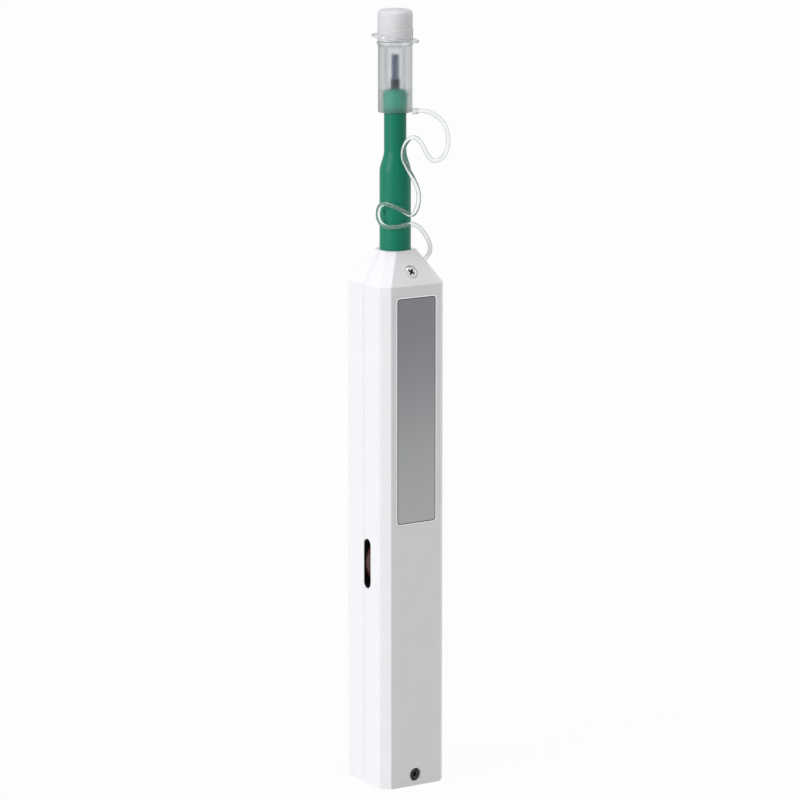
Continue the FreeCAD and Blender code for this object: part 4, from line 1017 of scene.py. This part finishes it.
class PEN_OT_studio(bpy.types.Operator):
    """Makes the pale floor, the soft lights and the camera"""

    bl_idname = "pen.studio"
    bl_label = "Studio"

    def execute(self, context):
        scene = context.scene
        scene.view_settings.view_transform = "Standard"
        self.make_camera(scene)
        self.make_floor(scene.pen_studio)
        self.make_lights(scene.pen_studio)
        self.make_world(scene)
        return {"FINISHED"}

    def make_camera(self, scene):
        lens = bpy.data.cameras.new("camera")
        lens.sensor_width = 36.0
        lens.lens = 195.06
        lens.clip_start, lens.clip_end = 0.05, 60.0
        camera = placed("camera", lens)
        heading, fall = math.radians(-33.078), math.radians(10.867)
        ahead = Vector((-math.sin(heading) * math.cos(fall), math.cos(heading) * math.cos(fall),
                        -math.sin(fall)))
        camera.rotation_mode = "QUATERNION"
        camera.rotation_quaternion = ahead.to_track_quat("-Z", "Y")
        camera.location = (-0.556891, -0.857073, 0.289867)
        scene.camera = camera

    def make_floor(self, studio):
        bm = bmesh.new()
        bmesh.ops.create_grid(bm, x_segments=1, y_segments=1, size=12.0)
        mesh = mesh_of(bm, "floor")
        floor = placed("floor", mesh)
        material, tree, shader = shaded("Studio Floor")
        grains = place_group(tree, moulded_grain(), Grain_Scale=300.0, Blotch_Scale=3.0)
        darker, lighter = toned(studio.floor, 0.99), toned(studio.floor, 1.01)
        tree.links.new(mixed_colour(tree, grains.outputs["Blotch"], darker, lighter),
                       shader.inputs["Base Color"])
        shader.inputs["Roughness"].default_value = 0.9
        shader.inputs["Specular IOR Level"].default_value = 0.1
        # seen directly or through clear plastic it glows white, but for a trace of its shading
        glow, glow_share = tree.nodes.new("ShaderNodeEmission"), 0.955
        mix = tree.nodes.new("ShaderNodeMixShader")
        tree.links.new(math_node(tree, "MULTIPLY", background_rays(tree), glow_share), mix.inputs[0])
        tree.links.new(shader.outputs[0], mix.inputs[1])
        tree.links.new(glow.outputs[0], mix.inputs[2])
        output = next(n for n in tree.nodes if n.type == "OUTPUT_MATERIAL")
        tree.links.new(mix.outputs[0], output.inputs["Surface"])
        mesh.materials.append(material)

    def make_lights(self, studio):
        softness = math.radians(38)
        for name, energy, tint, heading in (
                ("key", studio.key, studio.key_tint, Vector((0.56, 0.035, -0.12))),
                ("top", studio.top, studio.key_tint, Vector((0.0, 0.05, -1.0))),
                ("side", studio.side, studio.fill_tint, Vector((-0.9, 0.12, -0.3)))):
            lamp = bpy.data.lights.new(name, "SUN")
            lamp.energy = energy
            lamp.color = tint
            lamp.angle = softness
            light = placed(name, lamp)
            light.rotation_mode = "QUATERNION"
            light.rotation_quaternion = heading.to_track_quat("-Z", "Y")

    def make_world(self, scene):
        """Even fill light that shows as plain white where the background is seen."""
        world = bpy.data.worlds.new("studio")
        scene.world = world
        world.use_nodes = True
        tree = world.node_tree
        tree.nodes.clear()
        seen = background_rays(tree)
        sky = tree.nodes.new("ShaderNodeBackground")
        tree.links.new(mixed_colour(tree, seen, scene.pen_studio.fill_tint, (1, 1, 1)),
                       sky.inputs["Color"])
        tree.links.new(ranged(tree, seen, scene.pen_studio.fill, 1.0), sky.inputs["Strength"])
        output = tree.nodes.new("ShaderNodeOutputWorld")
        tree.links.new(sky.outputs[0], output.inputs["Surface"])


# ---------------------------------------------------------------- panel and registration

PIECES = ("studio", "tether", "casing", "label", "screws", "window", "thumb_wheel", "nozzle", "tip",
          "guide_cap", "lid", "working_parts")


class PEN_PT_panel(bpy.types.Panel):
    """Settings and pieces of the cleaning pen"""

    bl_idname = "PEN_PT_panel"
    bl_label = "Cleaning Pen"
    bl_space_type = "VIEW_3D"
    bl_region_type = "UI"
    bl_category = "Cleaning Pen"

    def draw(self, context):
        layout = self.layout
        for settings in (context.scene.pen_sizes, context.scene.pen_colours, context.scene.pen_studio):
            column = layout.box().column()
            for name in settings.bl_rna.properties.keys():
                if name not in ("rna_type", "name"):
                    column.prop(settings, name)
        for piece in PIECES:
            layout.operator("pen." + piece)


CLASSES = (PenSizes, PenColours, PenStudio, PEN_OT_studio, PEN_OT_tether, PEN_OT_casing, PEN_OT_label,
           PEN_OT_screws, PEN_OT_window, PEN_OT_thumb_wheel, PEN_OT_nozzle, PEN_OT_tip,
           PEN_OT_guide_cap, PEN_OT_lid, PEN_OT_working_parts, PEN_PT_panel)


def register():
    for item in CLASSES:
        bpy.utils.register_class(item)
    bpy.types.Scene.pen_sizes = PointerProperty(type=PenSizes)
    bpy.types.Scene.pen_colours = PointerProperty(type=PenColours)
    bpy.types.Scene.pen_studio = PointerProperty(type=PenStudio)


def unregister():
    del bpy.types.Scene.pen_studio
    del bpy.types.Scene.pen_colours
    del bpy.types.Scene.pen_sizes
    for item in reversed(CLASSES):
        bpy.utils.unregister_class(item)


def main():
    register()
    for piece in PIECES:
        getattr(bpy.ops.pen, piece)()


if __name__ == "__main__":
    main()
